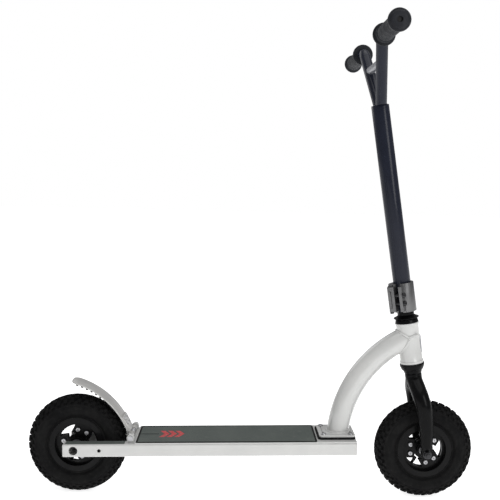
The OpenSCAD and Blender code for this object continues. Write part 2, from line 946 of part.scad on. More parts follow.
module crossbar() {
  color("silver") steer_frame() difference() {
    translate([0, -75, crossbar_height]) along_y() cylinder(d = crossbar_d, h = 150);
    both_sides() bar_run(bar_d);
  }
}

// Grip with a flange at both ends and three rings beside the inner one
module grip() {
  inner = bar_w / 2 - grip_l;
  translate([0, inner, grip_height]) along_y() difference() {
    union() {
      cylinder(d = grip_d, h = grip_l);
      cylinder(d = grip_flange_d, h = 4);
      for (i = [0:2])
        translate([0, 0, 7 + i * 5]) cylinder(d = grip_d + 3, h = 2.5);
      translate([0, 0, grip_l - 9]) cylinder(d = grip_flange_d - 3, h = 5);
    }
    translate([0, 0, -1]) cylinder(d = bar_d, h = grip_l - 4 + 1);
    cylinder(d = 10, h = grip_l + 1);
  }
}

module grip_right() {
  color("#1a1a1a") steer_frame() mirror([0, 1, 0]) grip();
}

module grip_left() {
  color("#1a1a1a") steer_frame() grip();
}

module bar_plugs() {
  color("black") steer_frame() both_sides()
    translate([0, bar_end - plug_l, grip_height]) along_y()
      cylinder(d = bar_d - 2 * bar_wall, h = plug_l);
}

// ---------------------------------------------------------------- clamp and quick release

module clamp_bolt_places() {
  for (z = clamp_bolt_z)
    translate([clamp_bolt_u, 0, z]) children();
}

module clamp_collar() {
  ear_v = gap_w / 2 + ear_t;
  color("silver") clamp_frame() difference() {
    union() {
      cylinder(d = collar_d, h = collar_h);
      translate([stem_d / 2, -ear_v, lug_z])
        cube([ear_out - stem_d / 2, 2 * ear_v, collar_h - 2 * lug_z]);
      for (z = [lug_z, collar_h - lug_z - lug_h])
        translate([clamp_bolt_u, lever_v, z]) {
          cylinder(d = lug_eye_d, h = lug_h);
          translate([-lug_eye_d / 2, 0, 0]) cube([lug_eye_d, -lever_v, lug_h]);
        }
    }
    translate([0, 0, -1]) cylinder(d = stem_d, h = collar_h + 2);
    translate([stem_d / 2 - 8, -gap_w / 2, -1]) cube([60, gap_w, collar_h + 2]);
    clamp_bolt_places() translate([0, -40, 0]) along_y()
      cylinder(d = clamp_bolt_d + 2 * bolt_gap, h = 80);
    translate([clamp_bolt_u, lever_v, -1]) cylinder(d = lever_pin_d + 2 * bolt_gap, h = collar_h + 2);
  }
}

module clamp_bolts() {
  ear_v = gap_w / 2 + ear_t;
  color("dimgray") clamp_frame() clamp_bolt_places() along_y() {
    translate([0, 0, -ear_v]) cylinder(d = clamp_bolt_d, h = 2 * ear_v);
    translate([0, 0, ear_v]) cylinder(d = 10, h = 5);
  }
}

module lever_pin() {
  color("dimgray") clamp_frame() translate([clamp_bolt_u, lever_v, 2]) {
    cylinder(d = lever_pin_d, h = collar_h - 4);
    translate([0, 0, -1.5]) cylinder(d = lever_pin_d + 3, h = 3.4);
  }
}

// Bowed outline of the lever as radius and height
module lever_outline() {
  bow_r = 110;
  difference() {
    intersection() {
      translate([lever_r - bow_r, collar_h / 2 + 2]) circle(r = bow_r, $fn = 128);
      translate([collar_d / 2 + 1, 1]) square([lever_r, collar_h - 2]);
    }
    translate([lever_r - bow_r, collar_h / 2 + 2]) circle(r = bow_r - lever_t, $fn = 128);
  }
}

// Tall lever that turns on the pin and wraps round the back of the closed collar
module quick_release_lever() {
  barrel_z = lug_z + lug_h + side_gap;
  barrel_h = collar_h - 2 * barrel_z;
  root = atan2(lever_v, clamp_bolt_u);
  color("silver") clamp_frame() difference() {
    union() {
      difference() {
        rotate(root - lever_sweep) rotate_extrude(angle = lever_sweep) lever_outline();
        for (z = [barrel_z - collar_h, barrel_z + barrel_h])
          translate([clamp_bolt_u, lever_v, z]) cylinder(r = lug_eye_d, h = collar_h);
      }
      translate([clamp_bolt_u, lever_v, barrel_z]) cylinder(d = lug_eye_d, h = barrel_h);
    }
    translate([clamp_bolt_u, lever_v, -1]) cylinder(d = lever_pin_d + 2 * run_gap, h = collar_h + 2);
  }
}

rail_right();
rail_left();
rail_plugs();
front_cross_tube();
rear_cross_tube();
deck_plate();
grip_tape();
deck_mark();
neck_gasket();
neck_base_plate();
neck_bolts();
neck_tube();
head_tube();
head_badge();
upper_cup();
lower_cup();
headset_bearings();
fender_bracket();
fender_pin();
rear_axle();
rear_axle_nut();
rear_spacers();
fender();
fender_hinge();
fender_rivets();
fender_spring();
rear_tyre();
rear_inner_tube();
rear_rim_right();
rear_rim_left();
rear_rim_bolts();
rear_bearings();
steerer();
fork_crown();
fork_leg_right();
fork_leg_left();
crown_race();
top_cone();
lock_nut();
front_axle();
front_axle_nuts();
front_spacers();
stem_tube();
upright_right();
upright_left();
crossbar();
grip_right();
grip_left();
bar_plugs();
clamp_collar();
clamp_bolts();
lever_pin();
quick_release_lever();
front_tyre();
front_inner_tube();
front_rim_right();
front_rim_left();
front_rim_bolts();
front_bearings();
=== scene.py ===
"""Looks of a kick scooter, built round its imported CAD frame. All lengths are in metres.

X points forwards, Y to the rider's left and Z up. Pieces of the fork and handlebar are drawn in
the steering frame, whose origin is the front axle and whose Z runs up the steering axis. Pieces
of the deck are drawn in the deck frame, whose origin is the rear axle.
"""
import bisect
import json
import random
from math import atan2, cos, hypot, pi, radians, sin, sqrt, tan

import bmesh
import bpy
from mathutils import Matrix, Vector


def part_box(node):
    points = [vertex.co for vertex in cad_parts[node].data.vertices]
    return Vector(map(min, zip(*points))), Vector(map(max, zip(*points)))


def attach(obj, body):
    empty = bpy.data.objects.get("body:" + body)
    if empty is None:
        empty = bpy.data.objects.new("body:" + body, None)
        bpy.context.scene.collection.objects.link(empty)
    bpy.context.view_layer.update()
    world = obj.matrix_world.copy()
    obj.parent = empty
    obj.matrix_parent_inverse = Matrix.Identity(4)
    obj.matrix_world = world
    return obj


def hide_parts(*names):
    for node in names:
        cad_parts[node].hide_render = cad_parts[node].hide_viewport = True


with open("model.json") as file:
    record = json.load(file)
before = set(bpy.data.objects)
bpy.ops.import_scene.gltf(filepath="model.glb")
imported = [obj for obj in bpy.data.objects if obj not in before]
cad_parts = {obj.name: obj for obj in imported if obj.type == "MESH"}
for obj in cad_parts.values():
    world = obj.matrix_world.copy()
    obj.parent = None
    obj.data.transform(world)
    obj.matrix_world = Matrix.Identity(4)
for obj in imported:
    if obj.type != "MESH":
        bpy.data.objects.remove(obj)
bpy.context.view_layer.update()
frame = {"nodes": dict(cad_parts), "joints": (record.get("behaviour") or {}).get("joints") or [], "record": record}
random.seed(7)

MM = 0.001
TAU = 2 * pi
move = Matrix.Translation


# ---- places taken from the frame
def middle(node):
    low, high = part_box(node)
    return (low + high) / 2


def axis_of(items, name):
    """Direction of a joint or mount."""
    return Vector(next(item for item in items if item["name"] == name)["axis"]).normalized()


front_axle = middle("front_axle")
rear_axle = Vector((middle("rear_tyre").x, 0, middle("rear_tyre").z))
steer_axis = axis_of(frame["joints"], "steering")
deck_normal = axis_of(frame["record"]["mounts"], "deck_top")
lean = atan2(-steer_axis.x, steer_axis.z)
deck_pitch = atan2(-deck_normal.x, deck_normal.z)
STEER = move(front_axle) @ Matrix.Rotation(-lean, 4, "Y")
DECK = move(rear_axle) @ Matrix.Rotation(-deck_pitch, 4, "Y")
ALONG_Y = Matrix.Rotation(-pi / 2, 4, "X")


def up_steer(s):
    """The steering frame, moved s up its axis."""
    return STEER @ move((0, 0, s))


def steer_height(point):
    """How far up the steering axis a point is."""
    return (Vector(point) - front_axle).dot(steer_axis)


# ---- mesh helpers
def add_object(name, data):
    made = bpy.data.objects.new(name, data)
    bpy.context.scene.collection.objects.link(made)
    return made


def closed_mesh(name, verts, faces, matrix=None, sharp=180):
    """Mesh from vertices and faces, with its faces turned outwards."""
    mesh = bpy.data.meshes.new(name)
    mesh.from_pydata([tuple(v) for v in verts], [], faces)
    bm = bmesh.new()
    bm.from_mesh(mesh)
    bmesh.ops.remove_doubles(bm, verts=bm.verts, dist=1e-7)
    bmesh.ops.recalc_face_normals(bm, faces=bm.faces)
    if matrix is not None:
        bmesh.ops.transform(bm, matrix=matrix, verts=bm.verts)
        if matrix.determinant() < 0:
            bmesh.ops.reverse_faces(bm, faces=bm.faces)
    mark_sharp(bm, sharp)
    bm.to_mesh(mesh)
    bm.free()
    return mesh


def mark_sharp(bm, angle):
    """Shades a mesh smooth, except over edges that turn by more than an angle in degrees."""
    limit = radians(angle)
    for face in bm.faces:
        face.smooth = True
    for edge in bm.edges:
        if len(edge.link_faces) == 2:
            edge.smooth = edge.calc_face_angle(0) < limit


def settle(piece, body, replaces):
    """Says what a piece rides on, and the CAD nodes that it stands in for."""
    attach(piece, body)
    if replaces:
        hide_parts(*replaces)


class Shape:
    """Vertices and faces gathered from several simple solids into one piece."""

    def __init__(self):
        self.verts = []
        self.faces = []

    def add(self, verts, faces, matrix=None):
        start = len(self.verts)
        self.verts += [matrix @ Vector(v) if matrix else Vector(v) for v in verts]
        self.faces += [tuple(start + i for i in face) for face in faces]
        return self

    def piece(self, name, body, finish, matrix=None, sharp=35, replaces=()):
        """Makes the piece. finish names both its material and its slot."""
        mesh = closed_mesh(name, self.verts, self.faces, matrix, sharp)
        mesh.materials.append(MATERIALS[finish])
        settle(add_object(name, mesh), body, replaces)

    def look_of(self, node, body, finish, matrix=None, sharp=30):
        """Makes the piece that is seen in place of one CAD node."""
        self.piece(node + "_look", body, finish, matrix, sharp, (node,))


def mm(loops):
    """Loops for turned(), given in millimetres."""
    return [(r * MM, z * MM, *kind) for r, z, *kind in loops]


def angles(count):
    """Angles that divide a full turn evenly."""
    return [TAU * i / count for i in range(count)]


def bridge(rows):
    """Quads between each loop of vertex numbers and the next."""
    return [(low[i], low[(i + 1) % len(low)], high[(i + 1) % len(low)], high[i])
            for low, high in zip(rows, rows[1:]) for i in range(len(low))]


def hexagon_radius(corner_r, angle):
    """Distance from the middle of a hexagon to its side, at an angle from a corner."""
    flat_r = corner_r * cos(pi / 6)
    return flat_r / cos((angle % (pi / 3)) - pi / 6)


def turned(loops, segments=48, closed=False):
    """Solid built from loops round Z.

    A loop is (radius, z) for a circle, (corner radius, z, "hex") for a hexagon, or
    (radius, z, "chamfer", corner radius) for a circle that a hexagon cuts.
    """
    verts, rows = [], []
    for radius, z, *kind in loops:
        if radius < 1e-9:
            rows.append([len(verts)])
            verts.append((0, 0, z))
            continue
        rows.append(range(len(verts), len(verts) + segments))
        for a in angles(segments):
            r = radius
            if kind == ["hex"]:
                r = hexagon_radius(radius, a)
            elif kind:
                r = min(hexagon_radius(kind[1], a), radius)
            verts.append((r * cos(a), r * sin(a), z))
    faces = []
    pairs = list(zip(rows, rows[1:]))
    if closed:
        pairs.append((rows[-1], rows[0]))
    for low, high in pairs:
        if len(low) == len(high) > 1:
            faces += bridge((low, high))
        elif len(low) > 1:
            faces += [(low[i], low[(i + 1) % segments], high[0]) for i in range(segments)]
        elif len(high) > 1:
            faces += [(low[0], high[(i + 1) % segments], high[i]) for i in range(segments)]
    return verts, faces


def swept(path, radii, sides, closed=False):
    """Tube along a path, with one radius for each point. It has flat ends, or none if closed."""
    points = [Vector(p) for p in path]
    count = len(points)
    verts, rows = [], []
    normal = None
    for i, p in enumerate(points):
        before = points[i - 1] if (i or closed) else p
        after = points[(i + 1) % count] if (i < count - 1 or closed) else p
        tangent = (after - before).normalized()
        if normal is None:
            normal = tangent.orthogonal().normalized()
        normal = (normal - tangent * normal.dot(tangent)).normalized()
        side = tangent.cross(normal)
        rows.append(range(len(verts), len(verts) + sides))
        verts += [p + radii[i] * (cos(a) * normal + sin(a) * side) for a in angles(sides)]
    faces = bridge(rows)
    if closed:
        seam = verts[rows[-1][0]]
        shift = min(range(sides), key=lambda k: (verts[k] - seam).length)
        faces += bridge((rows[-1], [(k + shift) % sides for k in range(sides)]))
    else:
        faces += [tuple(reversed(rows[0])), tuple(rows[-1])]
    return verts, faces


FLAT_TIP = 0.4
RIPPLE_STEPS = 5
RIPPLE_LOW, RIPPLE_SWELL, RIPPLE_UNEVEN = 0.86, 0.2, 0.04


def capsule_ends(path, radius, steps=4):
    """Adds points and radii that round off both ends of a swept path, but for a flat tip."""
    points = [Vector(p) for p in path]
    quarter = [pi / 2 * i / (steps + FLAT_TIP) for i in range(1, steps + 1)]
    sizes = [radius * cos(a) for a in quarter]
    caps = []
    for end, inner in ((points[0], points[1]), (points[-1], points[-2])):
        out = (end - inner).normalized()
        caps.append([end + out * radius * sin(a) for a in quarter])
    return (caps[0][::-1] + points + caps[1], sizes[::-1] + [radius] * len(points) + sizes)


def weld_bead(path, radius, closed=True, pitch=2.6 * MM):
    """A rippled bead of weld, like a row of overlapping coins, along a path."""
    points = [Vector(p) for p in path]
    lengths = [0.0]
    ring = points + ([points[0]] if closed else [])
    for a, b in zip(ring, ring[1:]):
        lengths.append(lengths[-1] + (b - a).length)
    total = lengths[-1]
    count = max(3, round(total / pitch)) * RIPPLE_STEPS
    out, radii = [], []
    for i in range(count):
        d = total * i / (count if closed else count - 1)
        k = min(bisect.bisect_left(lengths, d - 1e-12, 1), len(lengths) - 1)
        span = lengths[k] - lengths[k - 1]
        f = (d - lengths[k - 1]) / span if span else 0
        out.append(ring[k - 1].lerp(ring[k], f))
        swell = RIPPLE_SWELL * sin(pi * (i % RIPPLE_STEPS) / RIPPLE_STEPS)
        uneven = random.uniform(-RIPPLE_UNEVEN, RIPPLE_UNEVEN)
        radii.append(radius * (RIPPLE_LOW + swell + uneven))
    return swept(out, radii, 8, closed)


CORNER_STEPS = 6


def rect_loop(w, h, r):
    """Rounded rectangle in X and Y, centred on the origin."""
    out = []
    for n, (sx, sy) in enumerate(((1, 1), (-1, 1), (-1, -1), (1, -1))):
        for i in range(CORNER_STEPS + 1):
            a = pi / 2 * (n + i / CORNER_STEPS)
            out.append((sx * (w / 2 - r) + r * cos(a), sy * (h / 2 - r) + r * sin(a)))
    return out


def slab(w, h, r, low, high, round_low=0.0, round_high=0.0, steps=4):
    """Flat plate with rounded corners, whose lower and upper edges may be rounded too."""
    quarter = [pi / 2 * i / steps for i in range(steps + 1)]
    loops = [(round_low * (1 - sin(a)), low + round_low * (1 - cos(a))) for a in quarter]
    loops += [(round_high * (1 - cos(a)), high - round_high * (1 - sin(a))) for a in quarter]
    verts, rows = [], []
    last = None
    for inset, z in loops:
        if last and abs(inset - last[0]) < 1e-9 and abs(z - last[1]) < 1e-9:
            continue
        last = (inset, z)
        outline = rect_loop(w - 2 * inset, h - 2 * inset, max(r - inset, 0.2 * MM))
        rows.append(range(len(verts), len(verts) + len(outline)))
        verts += [(x, y, z) for x, y in outline]
    return verts, [tuple(reversed(rows[0])), tuple(rows[-1]), *bridge(rows)]


def smooth_path(points, steps):
    """Catmull-Rom curve through points, with steps samples for each stretch."""
    pts = [Vector(p) for p in points]
    pts = [2 * pts[0] - pts[1]] + pts + [2 * pts[-1] - pts[-2]]
    out = []
    for i in range(1, len(pts) - 2):
        a, b, c, d = pts[i - 1:i + 3]
        for k in range(steps):
            t = k / steps
            out.append(0.5 * (2 * b + (c - a) * t + (2 * a - 5 * b + 4 * c - d) * t ** 2
                              + (3 * b - a - 3 * c + d) * t ** 3))
    out.append(pts[-2])
    return out


# ---- materials
class Tree:
    """Node tree of a material or a world, with the few kinds of node that the looks need."""

    def __init__(self, owner):
        owner.use_nodes = True
        self.nodes, self.links = owner.node_tree.nodes, owner.node_tree.links

    def find(self, kind):
        return next(node for node in self.nodes if node.type == kind)

    def feed(self, socket, value):
        """Sets a socket to a number, vector or colour, or links another node's output to it."""
        if isinstance(value, bpy.types.NodeSocket):
            self.links.new(value, socket)
        else:
            socket.default_value = (*value, 1) if socket.type == "RGBA" else value

    def add(self, kind, settings=(), **inputs):
        """Adds a node, and feeds its inputs, with an underscore for a space in their names."""
        node = self.nodes.new(kind)
        for key, value in dict(settings).items():
            setattr(node, key, value)
        for key, value in inputs.items():
            self.feed(node.inputs[key.replace("_", " ")], value)
        return node

    def noise(self, place, scale, detail=4, rough=0.55):
        return self.add("ShaderNodeTexNoise", Scale=scale, Detail=detail, Roughness=rough,
                        Vector=place).outputs["Fac"]

    def remap(self, value, from_low, from_high, to_low=0, to_high=1):
        return self.add("ShaderNodeMapRange", From_Min=from_low, From_Max=from_high,
                        To_Min=to_low, To_Max=to_high, Value=value).outputs["Result"]

    def blend(self, factor, first, second):
        """Mix of two colours, each a tuple or another node's output."""
        return self.add("ShaderNodeMix", {"data_type": "RGBA"}, Factor=factor, A=first,
                        B=second).outputs["Result"]

    def combine(self, operation, first, second):
        node = self.add("ShaderNodeMath", {"operation": operation, "use_clamp": True})
        self.feed(node.inputs[0], first)
        self.feed(node.inputs[1], second)
        return node.outputs["Value"]

    def bump(self, height, strength, depth):
        return self.add("ShaderNodeBump", Strength=strength, Distance=depth,
                        Height=height).outputs["Normal"]

    def edge_wear(self, place, amount):
        """Grows from 0 to an amount on outside edges, broken up by noise so that it is uneven."""
        bevel = self.add("ShaderNodeBevel", {"samples": 4}, Radius=WEAR_WIDTH)
        geometry = self.add("ShaderNodeNewGeometry")
        turn = self.add("ShaderNodeVectorMath", {"operation": "DOT_PRODUCT"})
        self.feed(turn.inputs[0], bevel.outputs["Normal"])
        self.feed(turn.inputs[1], geometry.outputs["Normal"])
        edge = self.remap(turn.outputs["Value"], 0.97, 0.8)
        patches = self.remap(self.noise(place, WEAR_SCALE), 0.45, 0.62)
        return self.combine("MULTIPLY", self.combine("MULTIPLY", edge, patches), amount)


WEAR_WIDTH = 0.7 * MM
WEAR_SCALE = 160
SCRATCH_TURN = (0.5, 0.9, 0.3)
SCRATCH_STRETCH = (1, 22, 22)
SCRATCH_SCALE = 34


def new_material(name):
    """A material with its node tree, its shader and the object's own coordinates."""
    material = bpy.data.materials.new(name)
    tree = Tree(material)
    place = tree.add("ShaderNodeTexCoord").outputs["Object"]
    return material, tree, tree.find("BSDF_PRINCIPLED"), place


def surface(name, colour, second, rough, metal=0, coat=0, coat_rough=0.05, blotch=18,
            grain=None, worn=None, specular=0.5, dust=None, scratches=0):
    """Plain finish: two close colours in soft patches, uneven roughness, fine grain, worn edges.

    rough is the lowest and highest roughness. blotch is the scale of the patches. grain is
    (scale, strength, depth in millimetres). worn and dust are
    (colour, amount): worn shows on outside edges, and dust settles in soft patches.
    """
    material, tree, shader, place = new_material(name)
    base = tree.blend(tree.remap(tree.noise(place, blotch), 0.35, 0.65), colour, second)
    if dust:
        dust_colour, dust_amount = dust
        film = tree.remap(tree.noise(place, blotch * 4.5, 6, 0.65), 0.5, 0.75, 0, dust_amount)
        base = tree.blend(film, base, dust_colour)
    roughness = tree.remap(tree.noise(place, blotch * 3.1), 0.3, 0.7, *rough)
    if scratches:
        stretch = tree.add("ShaderNodeMapping", Rotation=SCRATCH_TURN, Scale=SCRATCH_STRETCH,
                           Vector=place)
        marks = tree.noise(stretch.outputs["Vector"], SCRATCH_SCALE, 2)
        roughness = tree.combine("ADD", roughness, tree.remap(marks, 0.62, 0.72, 0, scratches))
    if worn:
        worn_colour, worn_amount = worn
        base = tree.blend(tree.edge_wear(place, worn_amount), base, worn_colour)
    for key, value in (("Base Color", base), ("Roughness", roughness), ("Metallic", metal),
                       ("Coat Weight", coat), ("Coat Roughness", coat_rough),
                       ("Specular IOR Level", specular)):
        tree.feed(shader.inputs[key], value)
    if grain:
        scale, strength, depth = grain
        tree.feed(shader.inputs["Normal"],
                  tree.bump(tree.noise(place, scale, 3), strength, depth * MM))
    return material


def gritty(name):
    """Grip tape: dark grey-green sheet covered in fine sharp grit with paler crystals."""
    material, tree, shader, place = new_material(name)
    cells = tree.add("ShaderNodeTexVoronoi", Scale=1500, Randomness=1, Vector=place)
    crystals = tree.remap(cells.outputs["Distance"], 0, 0.42, 1, 0)
    sparkle = tree.remap(tree.noise(place, 900, 2), 0.56, 0.68)
    pale = tree.combine("MULTIPLY", crystals, sparkle)
    patches = tree.remap(tree.noise(place, 14), 0.3, 0.7)
    base = tree.blend(patches, (0.085, 0.1, 0.092), (0.115, 0.13, 0.12))
    base = tree.blend(pale, base, (0.34, 0.37, 0.35))
    scuffs = tree.remap(tree.noise(place, 60, 6, 0.7), 0.58, 0.75, 0, 0.5)
    base = tree.blend(scuffs, base, (0.21, 0.22, 0.2))
    for key, value in (("Base Color", base), ("Roughness", tree.remap(crystals, 0, 1, 0.92, 0.62)),
                       ("Specular IOR Level", 0.35),
                       ("Normal", tree.bump(crystals, 0.9, 0.35 * MM))):
        tree.feed(shader.inputs[key], value)
    return material


FINISHES = {
    "frame_paint": dict(
        colour=(0.6, 0.6, 0.585), second=(0.565, 0.568, 0.555), rough=(0.16, 0.27), coat=0.6,
        grain=(420, 0.1, 0.05), worn=((0.4, 0.39, 0.37), 0.35), dust=((0.47, 0.455, 0.43), 0.1),
        scratches=0.12),
    "white_plastic": dict(
        colour=(0.6, 0.6, 0.59), second=(0.56, 0.56, 0.54), rough=(0.32, 0.45),
        grain=(900, 0.22, 0.05), worn=((0.44, 0.43, 0.41), 0.4), dust=((0.44, 0.42, 0.4), 0.14)),
    "red_mark": dict(
        colour=(0.58, 0.018, 0.022), second=(0.46, 0.014, 0.02), rough=(0.42, 0.62), blotch=60,
        grain=(1400, 0.35, 0.1), dust=((0.75, 0.6, 0.58), 0.35)),
    "black_rubber": dict(
        colour=(0.006, 0.006, 0.0065), second=(0.011, 0.011, 0.011), rough=(0.6, 0.8),
        specular=0.15, grain=(1300, 0.25, 0.06), dust=((0.035, 0.034, 0.032), 0.3)),
    "steel": dict(
        colour=(0.47, 0.47, 0.48), second=(0.37, 0.37, 0.385), rough=(0.24, 0.4), metal=1,
        grain=(1600, 0.12, 0.03), worn=((0.82, 0.82, 0.83), 0.6), scratches=0.15),
    "dark_steel": dict(
        colour=(0.035, 0.035, 0.037), second=(0.06, 0.06, 0.063), rough=(0.3, 0.46), metal=0.9,
        grain=(1500, 0.15, 0.04), worn=((0.24, 0.24, 0.25), 0.6), scratches=0.12),
    "badge": dict(
        colour=(0.42, 0.43, 0.45), second=(0.32, 0.33, 0.35), rough=(0.24, 0.36), metal=1,
        grain=(900, 0.12, 0.04), worn=((0.8, 0.8, 0.82), 0.6)),
    "black_paint": dict(
        colour=(0.0025, 0.0025, 0.0027), second=(0.0045, 0.0045, 0.0048), rough=(0.24, 0.36),
        coat=0.08, coat_rough=0.06, specular=0.05, grain=(380, 0.1, 0.05),
        worn=((0.07, 0.066, 0.064), 0.3), dust=((0.014, 0.0135, 0.013), 0.12), scratches=0.1),
    "fender_metal": dict(
        colour=(0.56, 0.555, 0.54), second=(0.48, 0.475, 0.46), rough=(0.36, 0.5), metal=0.35,
        grain=(520, 0.16, 0.05), worn=((0.82, 0.82, 0.8), 0.5), dust=((0.45, 0.43, 0.4), 0.2),
        scratches=0.2),
    "tyre": dict(
        colour=(0.0045, 0.0045, 0.0048), second=(0.0085, 0.0085, 0.0085), rough=(0.62, 0.85),
        specular=0.08, blotch=30, grain=(1100, 0.35, 0.12), worn=((0.024, 0.023, 0.022), 0.6),
        dust=((0.03, 0.028, 0.026), 0.25)),
    "rim": dict(
        colour=(0.0025, 0.0025, 0.0027), second=(0.005, 0.005, 0.0053), rough=(0.26, 0.4),
        coat=0.08, coat_rough=0.12, specular=0.08, grain=(600, 0.16, 0.06),
        worn=((0.07, 0.07, 0.07), 0.5), dust=((0.022, 0.021, 0.02), 0.2)),
    "bar_paint": dict(
        colour=(0.0085, 0.0102, 0.0185), second=(0.012, 0.0143, 0.0245), rough=(0.22, 0.34),
        coat=0.16, coat_rough=0.1, specular=0.12, grain=(420, 0.1, 0.05),
        worn=((0.12, 0.125, 0.15), 0.35), scratches=0.12),
    "silver_paint": dict(
        colour=(0.235, 0.24, 0.262), second=(0.19, 0.195, 0.215), rough=(0.3, 0.42), metal=0.6,
        coat=0.15, grain=(2400, 0.15, 0.02), worn=((0.5, 0.5, 0.52), 0.5), scratches=0.1),
    "grip": dict(
        colour=(0.0095, 0.0105, 0.0135), second=(0.0145, 0.016, 0.02), rough=(0.5, 0.7),
        specular=0.2, grain=(1500, 0.35, 0.08), worn=((0.06, 0.06, 0.06), 0.5),
        dust=((0.06, 0.06, 0.06), 0.2)),
    "black_plastic": dict(
        colour=(0.008, 0.008, 0.0085), second=(0.013, 0.013, 0.013), rough=(0.38, 0.52),
        specular=0.25, grain=(1000, 0.25, 0.06), worn=((0.07, 0.07, 0.07), 0.6)),
    "clamp_alloy": dict(
        colour=(0.165, 0.165, 0.166), second=(0.115, 0.115, 0.117), rough=(0.32, 0.46), metal=0.75,
        grain=(700, 0.18, 0.05), worn=((0.62, 0.62, 0.63), 0.7), scratches=0.18),
}
MATERIALS = {name: surface(name + "_look", **finish) for name, finish in FINISHES.items()}
MATERIALS["grip_tape"] = gritty("grip_tape_look")


# ---- CAD nodes that stay visible
ROUNDED_NODES = {
    "deck_plate": 0.5 * MM, "neck_base_plate": 0.9 * MM, "neck_gasket": 0.3 * MM,
    "fender_bracket": 0.6 * MM, "lock_nut": 0.6 * MM, "top_cone": 0.4 * MM,
    "lower_cup": 0.5 * MM, "upper_cup": 0.4 * MM, "crown_race": 0.4 * MM,
    "head_tube": 0.5 * MM, "clamp_collar": 0.6 * MM, "fender_pin": 0.4 * MM,
    "lever_pin": 0.4 * MM, "stem_tube": 0.8 * MM, "front_axle": 0.5 * MM,
}


def dress_cad_nodes():
    """Gives each CAD node the finish of its own slot, and rounds the edges that catch the light."""
    for node in frame["nodes"].values():
        for slot in node.material_slots:
            slot.material = MATERIALS[slot.material.name.split(".")[0]]
    for name, width in ROUNDED_NODES.items():
        node = frame["nodes"][name]
        weld = node.modifiers.new("join", "WELD")
        weld.merge_threshold = 0.01 * MM
        bevel = node.modifiers.new("round_edges", "BEVEL")
        bevel.width = width
        bevel.segments = 2
        bevel.limit_method = "ANGLE"
        bevel.angle_limit = radians(40)
        bevel.harden_normals = True


# ---- wheels, drawn round Z
TYRE_R = 98.9 * MM
SECTION_Y = 75 * MM
SECTION_R = 24 * MM
CREST = TYRE_R - SECTION_Y
TREAD_DEPTH = 3.2 * MM
BEAD_R = 54.2 * MM
# Rings of the shoulder and sidewall: millimetres over the crest, degrees round the section
SIDEWALL = ((-1.7, 67), (-1.1, 70), (-1.2, 74), (-1.9, 78), (-0.9, 86), (-0.4, 94), (-0.4, 104),
            (-0.6, 114), (0.1, 119), (0.1, 122), (-0.9, 127), (-1.0, 134))
KNOB_PITCHES = 40
KNOB_SINK = 0.4 * MM
# How far up a knob each of its loops is, and how wide the knob is there
KNOB_LEVELS = ((0.0, 1.12), (0.82, 1.0), (1.0, 0.84))
KNOB_CORNERS = ((-1, -1), (0, -1), (1, -1), (1, 0), (1, 1), (0, 1), (-1, 1), (-1, 0))
INNER_ROW, OUTER_ROW, LUG_ROW = (radians(degrees) for degrees in (26, 47, 64))


def section_point(radius, t):
    """Point of the tyre's round section as (distance from the axle, distance from the middle)."""
    return SECTION_Y + radius * cos(t), radius * sin(t)


def carcass_loops():
    """Tyre under its knobs: tread, shoulders, smooth sidewalls with two raised rings, and beads."""
    half = [section_point(CREST - TREAD_DEPTH, radians(degrees)) for degrees in range(0, 62, 6)]
    half.append(section_point(CREST - TREAD_DEPTH + 0.3 * MM, radians(64)))
    half += [section_point(CREST + rise * MM, radians(degrees)) for rise, degrees in SIDEWALL]
    half += [(BEAD_R + 1.2 * MM, 18.3 * MM), (BEAD_R - 0.2 * MM, 16.6 * MM),
             (BEAD_R - 1.5 * MM, 15.0 * MM), (52.0 * MM, 14.0 * MM), (53.5 * MM, 12.5 * MM)]
    half += [section_point(SECTION_R - 4 * MM, radians(degrees))
             for degrees in (128, 100, 70, 40, 0)]
    return half + [(r, -z) for r, z in reversed(half)][1:-1]


def tread_knob(shape, phi, t, length, width, skew=0.0, height=1.0, fork=0.0):
    """One rubber block on the tread: phi round the wheel, t round the section."""
    base = CREST - TREAD_DEPTH - KNOB_SINK
    rise = (TREAD_DEPTH + KNOB_SINK) * height
    verts = []
    for level, spread in KNOB_LEVELS:
        radius = base + rise * level
        for u, v in KNOB_CORNERS:
            r, z = section_point(radius, t + v * width / 2 * spread / radius)
            bend = skew * v * length / 2 + fork * (1 - abs(v)) * length / 2
            angle = phi + (u * length / 2 * spread + bend) / r
            verts.append((r * cos(angle), r * sin(angle), z))
    rows = [range(start, start + 8) for start in (0, 8, 16)]
    shape.add(verts, [tuple(rows[-1]), *bridge(rows), tuple(reversed(rows[0]))])


def build_tyre(wheel, centre, first_angle):
    shape = Shape()
    shape.add(*turned(carcass_loops(), 160, closed=True))
    pitch = TAU / KNOB_PITCHES
    for i in range(KNOB_PITCHES):
        phi = i * pitch
        between = phi + pitch * 0.5
        lug = 9.5 * MM if i % 2 else 7.0 * MM
        tread_knob(shape, phi, 0, 8.0 * MM, 8.5 * MM, fork=0.45)
        for side in (-1, 1):
            tread_knob(shape, between, side * INNER_ROW, 7.0 * MM, 7.5 * MM, skew=0.35 * side)
            tread_knob(shape, phi, side * OUTER_ROW, 8.0 * MM, 6.5 * MM, skew=-0.25 * side)
            tread_knob(shape, between, side * LUG_ROW, 6.2 * MM, lug, height=0.86)
    place = move(centre) @ ALONG_Y @ Matrix.Rotation(first_angle, 4, "Z")
    shape.look_of(wheel + "_tyre", wheel + "_wheel", "tyre", place)


SPOKE_COUNT = 3
RIM_BOLT_R = 28 * MM
RIM_BOLT_Y = 7 * MM
RIM_BOLT_SPREAD = radians(19)
VALVE_R = 24 * MM
VALVE_Y = 6 * MM


